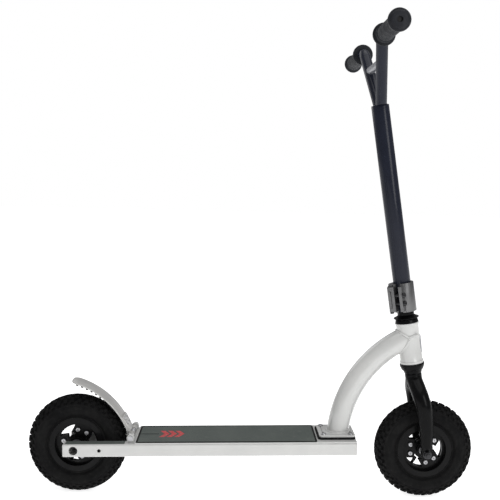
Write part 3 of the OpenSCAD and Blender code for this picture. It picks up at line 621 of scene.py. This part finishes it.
def bearing_loops():
    """Sealed ball bearing: rings with chamfers and a sunken shield between them."""
    low, high, bore, outer, chamfer, dip = 10.5, 17.5, 4.06, 10.98, 0.4, 0.5
    return mm([(bore + chamfer, low), (outer - chamfer, low), (outer, low + chamfer),
               (outer, high - chamfer), (outer - chamfer, high), (9.2, high), (9, high - dip),
               (6.2, high - dip), (6, high), (bore + chamfer, high), (bore, high - chamfer),
               (bore, low + chamfer)])


def wheel_details(wheel, centre, window_angle):
    """Bearings, rim bolts and the valve's cap, which turn with a wheel."""
    body = wheel + "_wheel"
    place = move(centre) @ ALONG_Y @ Matrix.Rotation(window_angle, 4, "Z")
    flip = Matrix.Scale(-1, 4, (0, 0, 1))
    seat = move((0, 0, RIM_BOLT_Y))
    bearings = Shape()
    for side in (Matrix.Identity(4), flip):
        bearings.add(*turned(bearing_loops(), 64, closed=True), matrix=side)
    bearings.look_of(wheel + "_bearings", body, "steel", place)
    bolt = turned(socket_head(head_d=8.5, head_h=4, key_r=2.2, key_depth=2.4, shank_d=5,
                              shank_l=14.2), 36)
    nut = turned(hex_nut(corner_d=9 * MM, height=4 * MM, bore_d=5 * MM), 36, closed=True)
    bolts = Shape()
    for i in range(2 * SPOKE_COUNT):
        spoke = (i // 2 + 0.5) * TAU / SPOKE_COUNT
        a = spoke + (RIM_BOLT_SPREAD if i % 2 else -RIM_BOLT_SPREAD)
        at = Matrix.Rotation(a, 4, "Z") @ move((RIM_BOLT_R, 0, 0))
        bolts.add(*bolt, matrix=at @ flip @ seat)
        bolts.add(*nut, matrix=at @ seat)
    bolts.look_of(wheel + "_rim_bolts", body, "steel", place)
    cap = mm([(0, 0), (2.6, 0), (3.4, 0.8), (3.5, 7.5), (3.2, 8.2), (3.2, 9), (0, 9)])
    inward = move((VALVE_R, 0, VALVE_Y)) @ Matrix.Rotation(pi / 2, 4, "Y")
    Shape().add(*turned(cap, 24)).piece(wheel + "_valve_cap", body, "black_plastic",
                                        place @ inward)


# ---- fasteners
THREAD_PITCH = 1.25 * MM
THREAD_DEPTH = 0.45 * MM


def socket_head(head_d, head_h, key_r, key_depth, shank_d, shank_l):
    """Bolt with a round head on z = 0 and a hexagon socket. Its sizes are in millimetres."""
    r, c = head_d / 2, 0.5
    return mm([(0, -shank_l), (shank_d / 2 - c, -shank_l), (shank_d / 2, -shank_l + c),
               (shank_d / 2, 0), (r - 0.2, 0), (r, 0.3), (r, head_h - c),
               (r - 0.3 * c, head_h - 0.3 * c), (r - c, head_h), (key_r, head_h, "hex"),
               (key_r, head_h - key_depth, "hex"), (0, head_h - key_depth - 0.3)])


def hex_nut(corner_d, height, bore_d, washer_d=0.0, washer_h=0.0):
    """Hexagon nut with chamfered corners and bore, on a washer if it has one."""
    r = corner_d / 2
    c = 0.9 * MM
    low = washer_h
    high = washer_h + height
    loops = []
    if washer_d:
        w = washer_d / 2
        loops += [(w - 0.3 * MM, 0), (w, 0.3 * MM), (w, low - 0.3 * MM), (w - 0.3 * MM, low)]
    loops += [(r * 0.88, low, "chamfer", r), (r, low + c * 0.7, "hex"), (r, high - c * 0.7, "hex"),
              (r * 0.88, high, "chamfer", r)]
    loops += [(bore_d / 2 + 0.6 * MM, high), (bore_d / 2, high - 0.6 * MM), (bore_d / 2, 0.4 * MM),
              (bore_d / 2 + 0.4 * MM, 0)]
    return loops


def threaded_end(radius, low, high):
    """Axle end with rings for its thread and a chamfered tip."""
    loops = []
    z = low
    while z < high - 1.2 * MM:
        loops += [(radius, z), (radius - THREAD_DEPTH, z + THREAD_PITCH / 2)]
        z += THREAD_PITCH
    return loops + [(radius, z), (radius - 0.9 * MM, high), (0, high)]


# ---- deck
RAIL = 25 * MM
RAIL_Y = 45 * MM
RAIL_TOP = RAIL / 2
RAIL_BACK = -21 * MM
RAIL_FRONT = 556 * MM
PLATE_START = 118.5 * MM
TAPE_START = 121.5 * MM
TAPE_END = 478 * MM
TAPE_TOP = RAIL_TOP + 2.8 * MM
TAPE_W = 109 * MM
EDGING_HALF_W = 1.8 * MM
MIDDLE_LINE_L = 40 * MM
MIDDLE_LINE_W = 2.4 * MM
# Where the back and front cross tubes begin and end
CROSS_TUBES = ((PLATE_START + 1 * MM, PLATE_START + 26 * MM), (484.5 * MM, 554.5 * MM))
BASE_TOP = 22 * MM
NECK_BOLTS_X = (492.5 * MM, 546.5 * MM)
NECK_BOLT_Y = 29 * MM
STAND_Y_Z = Matrix(((0, 0, 1, 0), (1, 0, 0, 0), (0, 1, 0, 0), (0, 0, 0, 1)))


def build_rail_caps():
    """Pressed plugs that close the rails, with softly rounded rims."""
    shape = Shape()
    back = Matrix.Scale(-1, 4, (1, 0, 0))
    inner = RAIL - 10 * MM
    for side in (-1, 1):
        for end, turn in ((RAIL_FRONT, Matrix.Identity(4)), (RAIL_BACK, back)):
            place = DECK @ move((end, side * RAIL_Y, 0)) @ turn @ STAND_Y_Z
            shape.add(*slab(RAIL, RAIL, 3 * MM, -3 * MM, 0, 0.15 * MM, 2.2 * MM, 5), matrix=place)
            shape.add(*slab(inner, inner, 3 * MM, -0.4 * MM, 0.0001 * MM), matrix=place)
    shape.piece("rail_caps", "frame", "white_plastic", replaces=("rail_plugs",))


def strip(points, half_w, low, high):
    """Flat band along a closed line of points in the deck's plane."""
    verts, faces = [], []
    count = len(points)
    for i, (x, y) in enumerate(points):
        before = points[i - 1]
        after = points[(i + 1) % count]
        d = Vector((after[0] - before[0], after[1] - before[1], 0)).normalized()
        n = Vector((-d.y, d.x, 0)) * half_w
        for z in (low, high):
            verts += [(x + n.x, y + n.y, z), (x - n.x, y - n.y, z)]
    for i in range(count):
        a, b = 4 * i, 4 * ((i + 1) % count)
        faces += [(a, b, b + 1, a + 1), (a + 2, a + 3, b + 3, b + 2), (a, a + 2, b + 2, b),
                  (a + 1, b + 1, b + 3, a + 3)]
    return verts, faces


def build_tape_trim():
    """Black edging round the grip tape, and a short line up its middle from the rear end."""
    centre_x = (TAPE_START + TAPE_END) / 2
    length, width = (size - 2 * EDGING_HALF_W for size in (TAPE_END - TAPE_START, TAPE_W))
    outline = [(centre_x + x, y) for x, y in rect_loop(length, width, 3 * MM)]
    shape = Shape()
    shape.add(*strip(outline, EDGING_HALF_W, TAPE_TOP - 0.6 * MM, TAPE_TOP + 0.35 * MM))
    shape.add(*slab(MIDDLE_LINE_L, MIDDLE_LINE_W, 1 * MM, TAPE_TOP - 0.3 * MM, TAPE_TOP + 0.3 * MM),
              matrix=move((TAPE_START + 1 * MM + MIDDLE_LINE_L / 2, 0, 0)))
    shape.piece("tape_edging", "frame", "black_rubber", DECK)


def build_rail_tapes():
    """Grip tape on the bare rails behind the deck plate."""
    shape = Shape()
    start, end = RAIL_BACK + 5 * MM, PLATE_START - 19 * MM
    for side in (-1, 1):
        shape.add(*slab(end - start, 17 * MM, 2 * MM, RAIL_TOP - 0.1 * MM, RAIL_TOP + 0.7 * MM,
                        0, 0.2 * MM),
                  matrix=move(((start + end) / 2, side * RAIL_Y, 0)))
    shape.piece("rail_tapes", "frame", "grip_tape", DECK)


def build_rail_welds():
    """Beads where the two cross tubes meet the rails, seen from below."""
    shape = Shape()
    inner = RAIL_Y - RAIL / 2
    for tube in CROSS_TUBES:
        for x in tube:
            for side in (-1, 1):
                path = [(x, side * (inner - 0.2 * MM), z * MM) for z in range(-11, 12, 2)]
                shape.add(*weld_bead(path, 1.5 * MM, closed=False))
    for side in (-1, 1):
        for start, end in CROSS_TUBES:
            start, end = start + 1 * MM, end - 1 * MM
            path = [(start + (end - start) * i / 11, side * inner, -RAIL_TOP + 0.1 * MM)
                    for i in range(12)]
            shape.add(*weld_bead(path, 1.2 * MM, closed=False))
    shape.piece("rail_welds", "frame", "frame_paint", DECK)


def build_neck_bolts():
    """Button-headed bolts through the neck's base plate."""
    bolt = turned(mm([(0, -16), (2.6, -16), (3, -15.6), (3, 0), (5.0, 0), (5.2, 0.4), (5.0, 1.2),
                      (4.4, 2.2), (3.4, 2.8), (2.6, 3.0), (2.0, 3.0, "hex"), (2.0, 1.0, "hex"),
                      (0, 0.8)]), 36)
    shape = Shape()
    for x in NECK_BOLTS_X:
        for y in (-NECK_BOLT_Y, NECK_BOLT_Y):
            turn = Matrix.Rotation(random.uniform(0, 1), 4, "Z")
            shape.add(*bolt, matrix=move((x, y, BASE_TOP)) @ turn)
    shape.look_of("neck_bolts", "frame", "steel", DECK)


# ---- neck and head
NECK_R = 22.2 * MM
NECK_BEND = 238 * MM
NECK_CENTRE = front_axle + Vector((63 * MM, 0, 13 * MM))
HEAD_R = 22.5 * MM
BISECTIONS = 40


def neck_point(theta, phi, r):
    """Point on the bent neck: theta along the bend, phi round the tube."""
    reach = NECK_BEND + r * cos(phi)
    return NECK_CENTRE + Vector((reach * cos(theta), r * sin(phi), reach * sin(theta)))


def off_axis(point):
    """Distance of a point from the steering axis."""
    away = point - front_axle
    return (away - steer_axis * away.dot(steer_axis)).length


def solve(low, high, test):
    """Value between low and high where test changes sign."""
    for _ in range(BISECTIONS):
        mid = (low + high) / 2
        if (test(low) < 0) == (test(mid) < 0):
            low = mid
        else:
            high = mid
    return (low + high) / 2


def neck_ring(low, high, test, lift):
    """Ring round the neck, just over its surface, where a test of the surface changes sign."""
    ring = []
    for phi in angles(72):
        theta = solve(radians(low), radians(high),
                      lambda angle: test(neck_point(angle, phi, NECK_R)))
        ring.append(neck_point(theta, phi, NECK_R + lift))
    return ring


def build_neck_welds():
    """Beads where the neck meets the head tube and its base plate."""
    to_deck = DECK.inverted()
    head = neck_ring(150, 111, lambda point: off_axis(point) - HEAD_R, 0.1 * MM)
    foot = neck_ring(170, 184, lambda point: (to_deck @ point).z - BASE_TOP, 0.2 * MM)
    shape = Shape()
    shape.add(*weld_bead(head, 2.3 * MM, pitch=3.2 * MM))
    shape.add(*weld_bead(foot, 2.4 * MM, pitch=3.2 * MM))
    shape.piece("neck_welds", "frame", "frame_paint")


BADGE_W, BADGE_H = 27 * MM, 36 * MM
# Loops of the badge in millimetres: how far inside its outline, how far off the head tube
BADGE_LEVELS = ((0, 0.05), (0, 0.9), (0.5, 1.2), (1.6, 1.2), (2.4, 0.75), (5, 0.85), (8, 0.95),
                (11, 1.0))


def build_badge():
    """Plain oval plate with a raised rim, bent round the front of the head tube."""
    verts, rows = [], []
    half_straight = (BADGE_H - BADGE_W) / 2
    for inset, rise in BADGE_LEVELS:
        end_r = BADGE_W / 2 - inset * MM
        r = HEAD_R + rise * MM
        rows.append(range(len(verts), len(verts) + 48))
        for a in angles(48):
            bend = end_r * cos(a) / HEAD_R
            z = end_r * sin(a) + (half_straight if sin(a) > 0 else -half_straight)
            verts.append((r * cos(bend), r * sin(bend), z))
    faces = [tuple(rows[-1]), tuple(reversed(rows[0])), *bridge(rows)]
    middle_s = steer_height(middle("head_badge"))
    Shape().add(verts, faces).look_of("head_badge", "frame", "badge", up_steer(middle_s), 40)


# ---- fork, in the steering frame
LEG_STRETCH = 1.19
# Middle line of the left leg in millimetres, from the crown down to the axle
LEG_LINE = ((0, 6, 143), (0.5, 17, 135), (2, 35, 118), (3.5, 41.5, 100), (4, 42.8, 78),
            (3, 42.4, 48), (1, 41, 18))
LEG_R = 13.4
LEG_TAPER = 3.2
TAPER_START = 0.62
FORK_VOXEL = 1.1 * MM
NUT_SEAT = 43.5 * MM
REAR_NUT_SEAT = 34.5 * MM


def leg_mesh(side):
    """One leg with round ends, which tapers towards the axle."""
    path = smooth_path([Vector((x, side * y, z)) * MM for x, y, z in LEG_LINE], 10)
    count = len(path)
    radii = []
    for i in range(count):
        down = max(0, (i / (count - 1) - TAPER_START) / (1 - TAPER_START))
        radii.append((LEG_R - LEG_TAPER * down ** 1.2) * MM)
    points, sizes = capsule_ends(path, radii[0])
    start = (len(points) - count) // 2
    sizes[start:start + count] = radii
    for i in range(start + count, len(points)):
        sizes[i] *= radii[-1] / radii[0]
    return swept(points, sizes, 28)


def fork_solids():
    """Solids that the fork is welded from: legs, axle lugs, webs above them, and the crown."""
    solids = Shape()
    lug = turned(mm([(0, 34.5), (11.8, 34.5), (12.7, 35.4), (12.7, 42.6), (11.8, 43.5),
                     (0, 43.5)]), 56)
    web = slab(21 * MM, 8.4 * MM, 1 * MM, -9 * MM, 12 * MM)
    crown = mm([(0, 128), (16, 128), (16.8, 129), (16.8, 156.6), (16.2, 157.4), (0, 157.4)])
    for side in (-1, 1):
        solids.add(*leg_mesh(side), matrix=Matrix.Scale(LEG_STRETCH, 4, (1, 0, 0)))
        solids.add(*lug, matrix=Matrix.Scale(side, 4, (0, 1, 0)) @ ALONG_Y)
        solids.add(*web, matrix=move((0.5 * MM, side * 39 * MM, 10 * MM)))
    solids.add(*turned(crown, 56))
    return solids


def build_fork():
    """Fork in one weldment: a voxel remesh joins its solids, and their seams are smoothed."""
    solids = fork_solids()
    fork = add_object("fork_look", closed_mesh("fork_look", solids.verts, solids.faces))
    remesh = fork.modifiers.new("join", "REMESH")
    remesh.mode = "VOXEL"
    remesh.voxel_size = FORK_VOXEL
    ease = fork.modifiers.new("ease", "SMOOTH")
    ease.factor = 0.5
    ease.iterations = 7
    graph = bpy.context.evaluated_depsgraph_get()
    joined = bpy.data.meshes.new_from_object(fork.evaluated_get(graph))
    fork.modifiers.clear()
    fork.data = joined
    joined.transform(STEER)
    for polygon in joined.polygons:
        polygon.use_smooth = True
    joined.materials.clear()
    joined.materials.append(MATERIALS["black_paint"])
    settle(fork, "fork", ("fork_crown", "fork_leg_right", "fork_leg_left"))


def build_front_axle():
    """Axle with two threaded ends, and a nut on a washer at each."""
    nut = turned(hex_nut(corner_d=15 * MM, height=6.5 * MM, bore_d=8.2 * MM, washer_d=18 * MM,
                         washer_h=1.5 * MM), 48, closed=True)
    seat = ALONG_Y @ move((0, 0, NUT_SEAT))
    nuts = Shape()
    for side in (-1, 1):
        nuts.add(*nut, matrix=STEER @ Matrix.Scale(side, 4, (0, 1, 0)) @ seat)
    nuts.look_of("front_axle_nuts", "fork", "dark_steel")
    tip = threaded_end(4 * MM, 46 * MM, 56 * MM)
    axle = Shape()
    axle.add(*turned([(r, -z) for r, z in reversed(tip)] + tip, 40), matrix=STEER @ ALONG_Y)
    axle.look_of("front_axle", "fork", "dark_steel", sharp=40)


def build_rear_axle():
    """Bolt with a hexagon socket in its head on the right, and a nut on the left."""
    place = move(rear_axle) @ ALONG_Y
    head = mm([(0, -37.5), (2.9, -37.5, "hex"), (3.3, -42.5, "hex"), (5.6, -42.5), (6.3, -41.8),
               (6.5, -41.0), (6.5, -34.8), (6.2, -34.5), (4, -34.5)])
    axle = Shape()
    axle.add(*turned(head + threaded_end(4 * MM, 35 * MM, 43.5 * MM), 40), matrix=place)
    axle.look_of("rear_axle", "frame", "dark_steel")
    nut = turned(hex_nut(corner_d=15 * MM, height=6.5 * MM, bore_d=8.2 * MM), 48, closed=True)
    Shape().add(*nut, matrix=place @ move((0, 0, REAR_NUT_SEAT))).look_of(
        "rear_axle_nut", "frame", "steel")


# ---- handlebar
BAR_R = 11.1 * MM
GRIP_S = 812.7 * MM
GRIP_Y = 120 * MM
GRIP_L = 145 * MM
RING_PITCH = 4 * MM
CROSS_R = 8 * MM
CROSS_S = 771 * MM
CAP_S = 696 * MM
CAP_R = 17.2 * MM
# The uprights rise to corners at this distance from the middle, at this angle to level
CORNER_Y = 103 * MM
RISE = radians(52)


def grip_loops():
    """Grip with a flange at both ends, three collars and fine rings along its body."""
    loops = [(BAR_R, 0)] + mm([(20.2, 0), (20.9, 0.7), (20.9, 3.2), (20.2, 4), (16.2, 4.4),
                               (15.6, 6.4)])
    for z in (7, 12, 17):
        loops += mm([(16.4, z), (16.95, z + 0.5), (16.95, z + 2), (16.4, z + 2.5), (15.3, z + 3)])
    z = 24 * MM
    while z < GRIP_L - 13 * MM:
        loops += [(15.45 * MM, z), (15.45 * MM, z + 2.6 * MM), (14.9 * MM, z + 3.0 * MM),
                  (14.9 * MM, z + 3.6 * MM)]
        z += RING_PITCH
    end = mm([(15.45, -11), (17.5, -9.4), (19.0, -9), (19.45, -8.3), (19.45, -4.8), (18.8, -4),
              (16.2, -3.6), (15.4, -2.4), (14.2, -0.6), (12.6, 0), (5.6, 0), (5, -0.5), (5, -4)])
    return loops + [(r, GRIP_L + z) for r, z in end] + [(BAR_R, GRIP_L - 4 * MM)]


def build_grips():
    for side, name in ((-1, "grip_right"), (1, "grip_left")):
        place = (up_steer(GRIP_S) @ Matrix.Scale(side, 4, (0, 1, 0))
                 @ move((0, GRIP_Y, 0)) @ ALONG_Y)
        Shape().add(*turned(grip_loops(), 72, closed=True)).look_of(
            name, "handlebar", "grip", place, 38)


def upright_y(s):
    """Distance of an upright's middle line from the steering axis, at a height s."""
    return CORNER_Y - (GRIP_S - s) / tan(RISE)


def cross_ring(side):
    """Ring where the crossbar meets an upright."""
    corner = Vector((0, CORNER_Y, GRIP_S))
    direction = Vector((0, cos(RISE), sin(RISE)))

    def gap(y):
        """How far outside the left upright the point of the crossbar at x, y, z is."""
        away = Vector((x, y, z)) - corner
        return (away - direction * away.dot(direction)).length - BAR_R

    ring = []
    for a in angles(40):
        x, z = CROSS_R * cos(a), CROSS_S + CROSS_R * sin(a)
        y = solve(upright_y(z) - 30 * MM, upright_y(z), gap)
        ring.append((x * 1.02, side * y, CROSS_S + (z - CROSS_S) * 1.02))
    return ring


def foot_line(side):
    """Open line round an upright's foot on the stem's cap, as far as the cap reaches."""
    foot = []
    for a in angles(48):
        x = BAR_R * cos(a)
        y = upright_y(CAP_S) + BAR_R * sin(a) / sin(RISE)
        if y >= 0.5 * MM and hypot(x, y) <= CAP_R:
            foot.append((x, side * y, CAP_S + 0.1 * MM))
    start = max(range(len(foot)), key=lambda k: (Vector(foot[k]) - Vector(foot[k - 1])).length)
    return foot[start:] + foot[:start]


def build_bar_welds():
    """Beads where the uprights meet the crossbar and the stem's cap."""
    shape = Shape()
    for side in (-1, 1):
        shape.add(*weld_bead(cross_ring(side), 1.5 * MM, pitch=2.4 * MM))
        shape.add(*weld_bead(foot_line(side), 1.5 * MM, closed=False, pitch=2.4 * MM))
    shape.piece("bar_welds", "handlebar", "bar_paint", STEER)


# ---- clamp
CLAMP = up_steer(284.8 * MM) @ Matrix.Rotation(radians(235), 4, "Z")
CLAMP_BOLTS_S = (20 * MM, 36 * MM)


def build_clamp_bolts():
    bolt = turned(socket_head(head_d=10, head_h=5, key_r=2.6, key_depth=3, shank_d=6,
                              shank_l=22), 40)
    shape = Shape()
    for s in CLAMP_BOLTS_S:
        shape.add(*bolt, matrix=CLAMP @ move((28 * MM, 11 * MM, s)) @ ALONG_Y)
    shape.look_of("clamp_bolts", "handlebar", "dark_steel")


# ---- brake fender
FENDER_C = Vector((-49.8 * MM, 0, -29.8 * MM))
FENDER_R = 164.4 * MM
FENDER_T = 3 * MM
FENDER_W = 46 * MM
FENDER_EDGE = 0.9 * MM
FENDER_CORNER = 14 * MM
FENDER_START, FENDER_END = radians(21.0), radians(75.3)
FENDER_STEPS = 72
RIB_COUNT = 9
RIB_START, RIB_PITCH = 41.0, 3.7
# Section of a rib: degrees along the fender, millimetres below it
RIB_SECTION = ((-0.95, -0.05), (-0.7, 2.0), (0.7, 2.0), (0.95, -0.05))


def fender_point(theta, y, r):
    """Point of the fender in the deck frame: theta along its bend, r from the bend's centre."""
    return FENDER_C + Vector((r * cos(theta), y, r * sin(theta)))


def fender_half_width(theta):
    """Half width of the fender, which narrows in a round corner towards its free tip."""
    left = (FENDER_END - theta) * FENDER_R
    half = FENDER_W / 2
    if left < FENDER_CORNER:
        half -= FENDER_CORNER - sqrt(max(0, FENDER_CORNER ** 2 - (FENDER_CORNER - left) ** 2))
    return half


def build_fender():
    """Bent plate with rounded edges."""
    edge = FENDER_EDGE
    high, low = FENDER_R, FENDER_R - FENDER_T
    verts, rows = [], []
    for i in range(FENDER_STEPS + 1):
        left = 1 - i / FENDER_STEPS
        theta = FENDER_START + (FENDER_END - FENDER_START) * (1 - left ** 1.35)
        half = fender_half_width(theta)
        section = [(-half + edge, high), (-half + 0.3 * edge, high - 0.3 * edge),
                   (-half, high - edge), (-half, low + edge),
                   (-half + 0.3 * edge, low + 0.3 * edge), (-half + edge, low)]
        section += [(-y, r) for y, r in reversed(section)]
        rows.append(range(len(verts), len(verts) + len(section)))
        verts += [fender_point(theta, y, r) for y, r in section]
    faces = [tuple(rows[0]), tuple(reversed(rows[-1])), *bridge(rows)]
    Shape().add(verts, faces).look_of("fender", "brake", "fender_metal", DECK, 35)


def build_fender_shade_ribs():
    """Black rubber ribs across the fender's underside. Their dark row is partly painted shade under the fender's
    edge.
    """
    ribs = Shape()
    for i in range(RIB_COUNT):
        theta = radians(RIB_START + RIB_PITCH * i)
        half = fender_half_width(theta + radians(0.8)) - 0.3 * MM
        rib = [fender_point(theta + radians(along), y, FENDER_R - FENDER_T - below * MM)
               for y in (-half, half) for along, below in RIB_SECTION]
        ribs.add(rib, [(0, 1, 2, 3), (7, 6, 5, 4), (0, 4, 5, 1), (1, 5, 6, 2), (2, 6, 7, 3),
                       (3, 7, 4, 0)])
    # The ribs' black rubber also paints shade: a dark row under the fender's edge.
    ribs.piece("fender_shade_ribs", "brake", "black_rubber", DECK)


SPRING_HINGE = Vector((110.5 * MM, 0, 20.5 * MM))
SPRING_WIRE = 0.65 * MM
SPRING_R = 4.1 * MM
SPRING_L = 16 * MM
SPRING_TURNS = 10


def build_spring():
    """Coil of the return spring round the hinge pin."""
    steps = SPRING_TURNS * 16
    path = []
    for i in range(steps + 1):
        a = -pi / 2 + TAU * i / 16
        path.append((SPRING_R * cos(a), -SPRING_L / 2 + SPRING_L * i / steps, SPRING_R * sin(a)))
    points, radii = capsule_ends(path, SPRING_WIRE, 2)
    Shape().add(*swept(points, radii, 10)).look_of(
        "fender_spring", "brake", "steel", DECK @ move(SPRING_HINGE), 60)


dress_cad_nodes()
for wheel, centre, window in (("rear", rear_axle, radians(-249)),
                              ("front", front_axle, radians(-240))):
    build_tyre(wheel, centre, window)
    wheel_details(wheel, centre, window)
build_rail_caps()
build_tape_trim()
build_rail_tapes()
build_rail_welds()
build_neck_bolts()
build_neck_welds()
build_badge()
build_fork()
build_front_axle()
build_rear_axle()
build_grips()
build_bar_welds()
build_clamp_bolts()
build_fender()
build_fender_shade_ribs()
build_spring()


# ---- camera, floor and light
CAMERA_AT = (-0.0474, -1.6147, 0.6354)
CAMERA_YAW, CAMERA_PITCH, CAMERA_ROLL = (radians(a) for a in (-1.26, -4.96, -1.38))
CAMERA_LENS = 58.75
FLOOR_REACH = 14.0
FLOOR_GLOW = 0.80
LIGHTING_GREY = (0.30, 0.30, 0.305)


def set_camera():
    """Camera of the photograph. Without its turns it looks along Y, with Z up."""
    data = bpy.data.cameras.new("camera")
    data.sensor_width = 36.0
    data.lens = CAMERA_LENS
    camera = add_object("camera", data)
    turn = (Matrix.Rotation(CAMERA_YAW, 4, "Z") @ Matrix.Rotation(CAMERA_PITCH, 4, "X")
            @ Matrix.Rotation(CAMERA_ROLL, 4, "Y"))
    to_view = Matrix(((1, 0, 0, 0), (0, 0, -1, 0), (0, 1, 0, 0), (0, 0, 0, 1)))
    camera.matrix_world = move(CAMERA_AT) @ turn @ to_view
    bpy.context.scene.camera = camera


def add_area(name, place, target, size, power):
    data = bpy.data.lights.new(name, "AREA")
    data.shape = "RECTANGLE"
    data.size, data.size_y = size
    data.energy = power
    light = add_object(name, data)
    light.location = place
    light.rotation_euler = (Vector(target) - Vector(place)).to_track_quat("-Z", "Y").to_euler()


def floor_material():
    """Pale studio floor that glows a little, so that it runs into the white background."""
    material = surface("floor_look", (0.86, 0.86, 0.86), (0.84, 0.84, 0.84), (0.75, 0.85),
                       blotch=0.8, specular=0.1)
    shader = Tree(material).find("BSDF_PRINCIPLED")
    shader.inputs["Emission Color"].default_value = (1, 1, 1, 1)
    shader.inputs["Emission Strength"].default_value = FLOOR_GLOW
    return material


def build_floor():
    mesh = bpy.data.meshes.new("studio_floor")
    corners = ((-1, -1), (1, -1), (1, 1), (-1, 1))
    verts = [(FLOOR_REACH * x, FLOOR_REACH * y, 0) for x, y in corners]
    mesh.from_pydata(verts, [], [(0, 1, 2, 3)])
    floor = add_object("studio_floor", mesh)
    mesh.materials.append(floor_material())


def build_world():
    """World that is white to the camera, and a dimmer grey as a light."""
    world = bpy.data.worlds.new("studio_world")
    bpy.context.scene.world = world
    tree = Tree(world)
    background = tree.find("BACKGROUND")
    background.inputs["Strength"].default_value = 1.0
    ray = tree.nodes.new("ShaderNodeLightPath")
    colour = tree.blend(ray.outputs["Is Camera Ray"], LIGHTING_GREY, (1, 1, 1))
    tree.links.new(colour, background.inputs["Color"])


def build_lights():
    add_area("top_softbox", (0.2, -0.2, 2.6), (0, 0, 0.3), (2.6, 2.0), 26)
    add_area("side_softbox", (1.5, -2.0, 1.3), (0.1, 0, 0.35), (0.9, 1.6), 20)
    add_area("back_softbox", (-1.2, 2.0, 1.7), (0, 0, 0.4), (1.5, 1.5), 8)


set_camera()
build_floor()
build_world()
build_lights()
view = bpy.context.scene.view_settings
view.view_transform = "Standard"
view.look = "None"
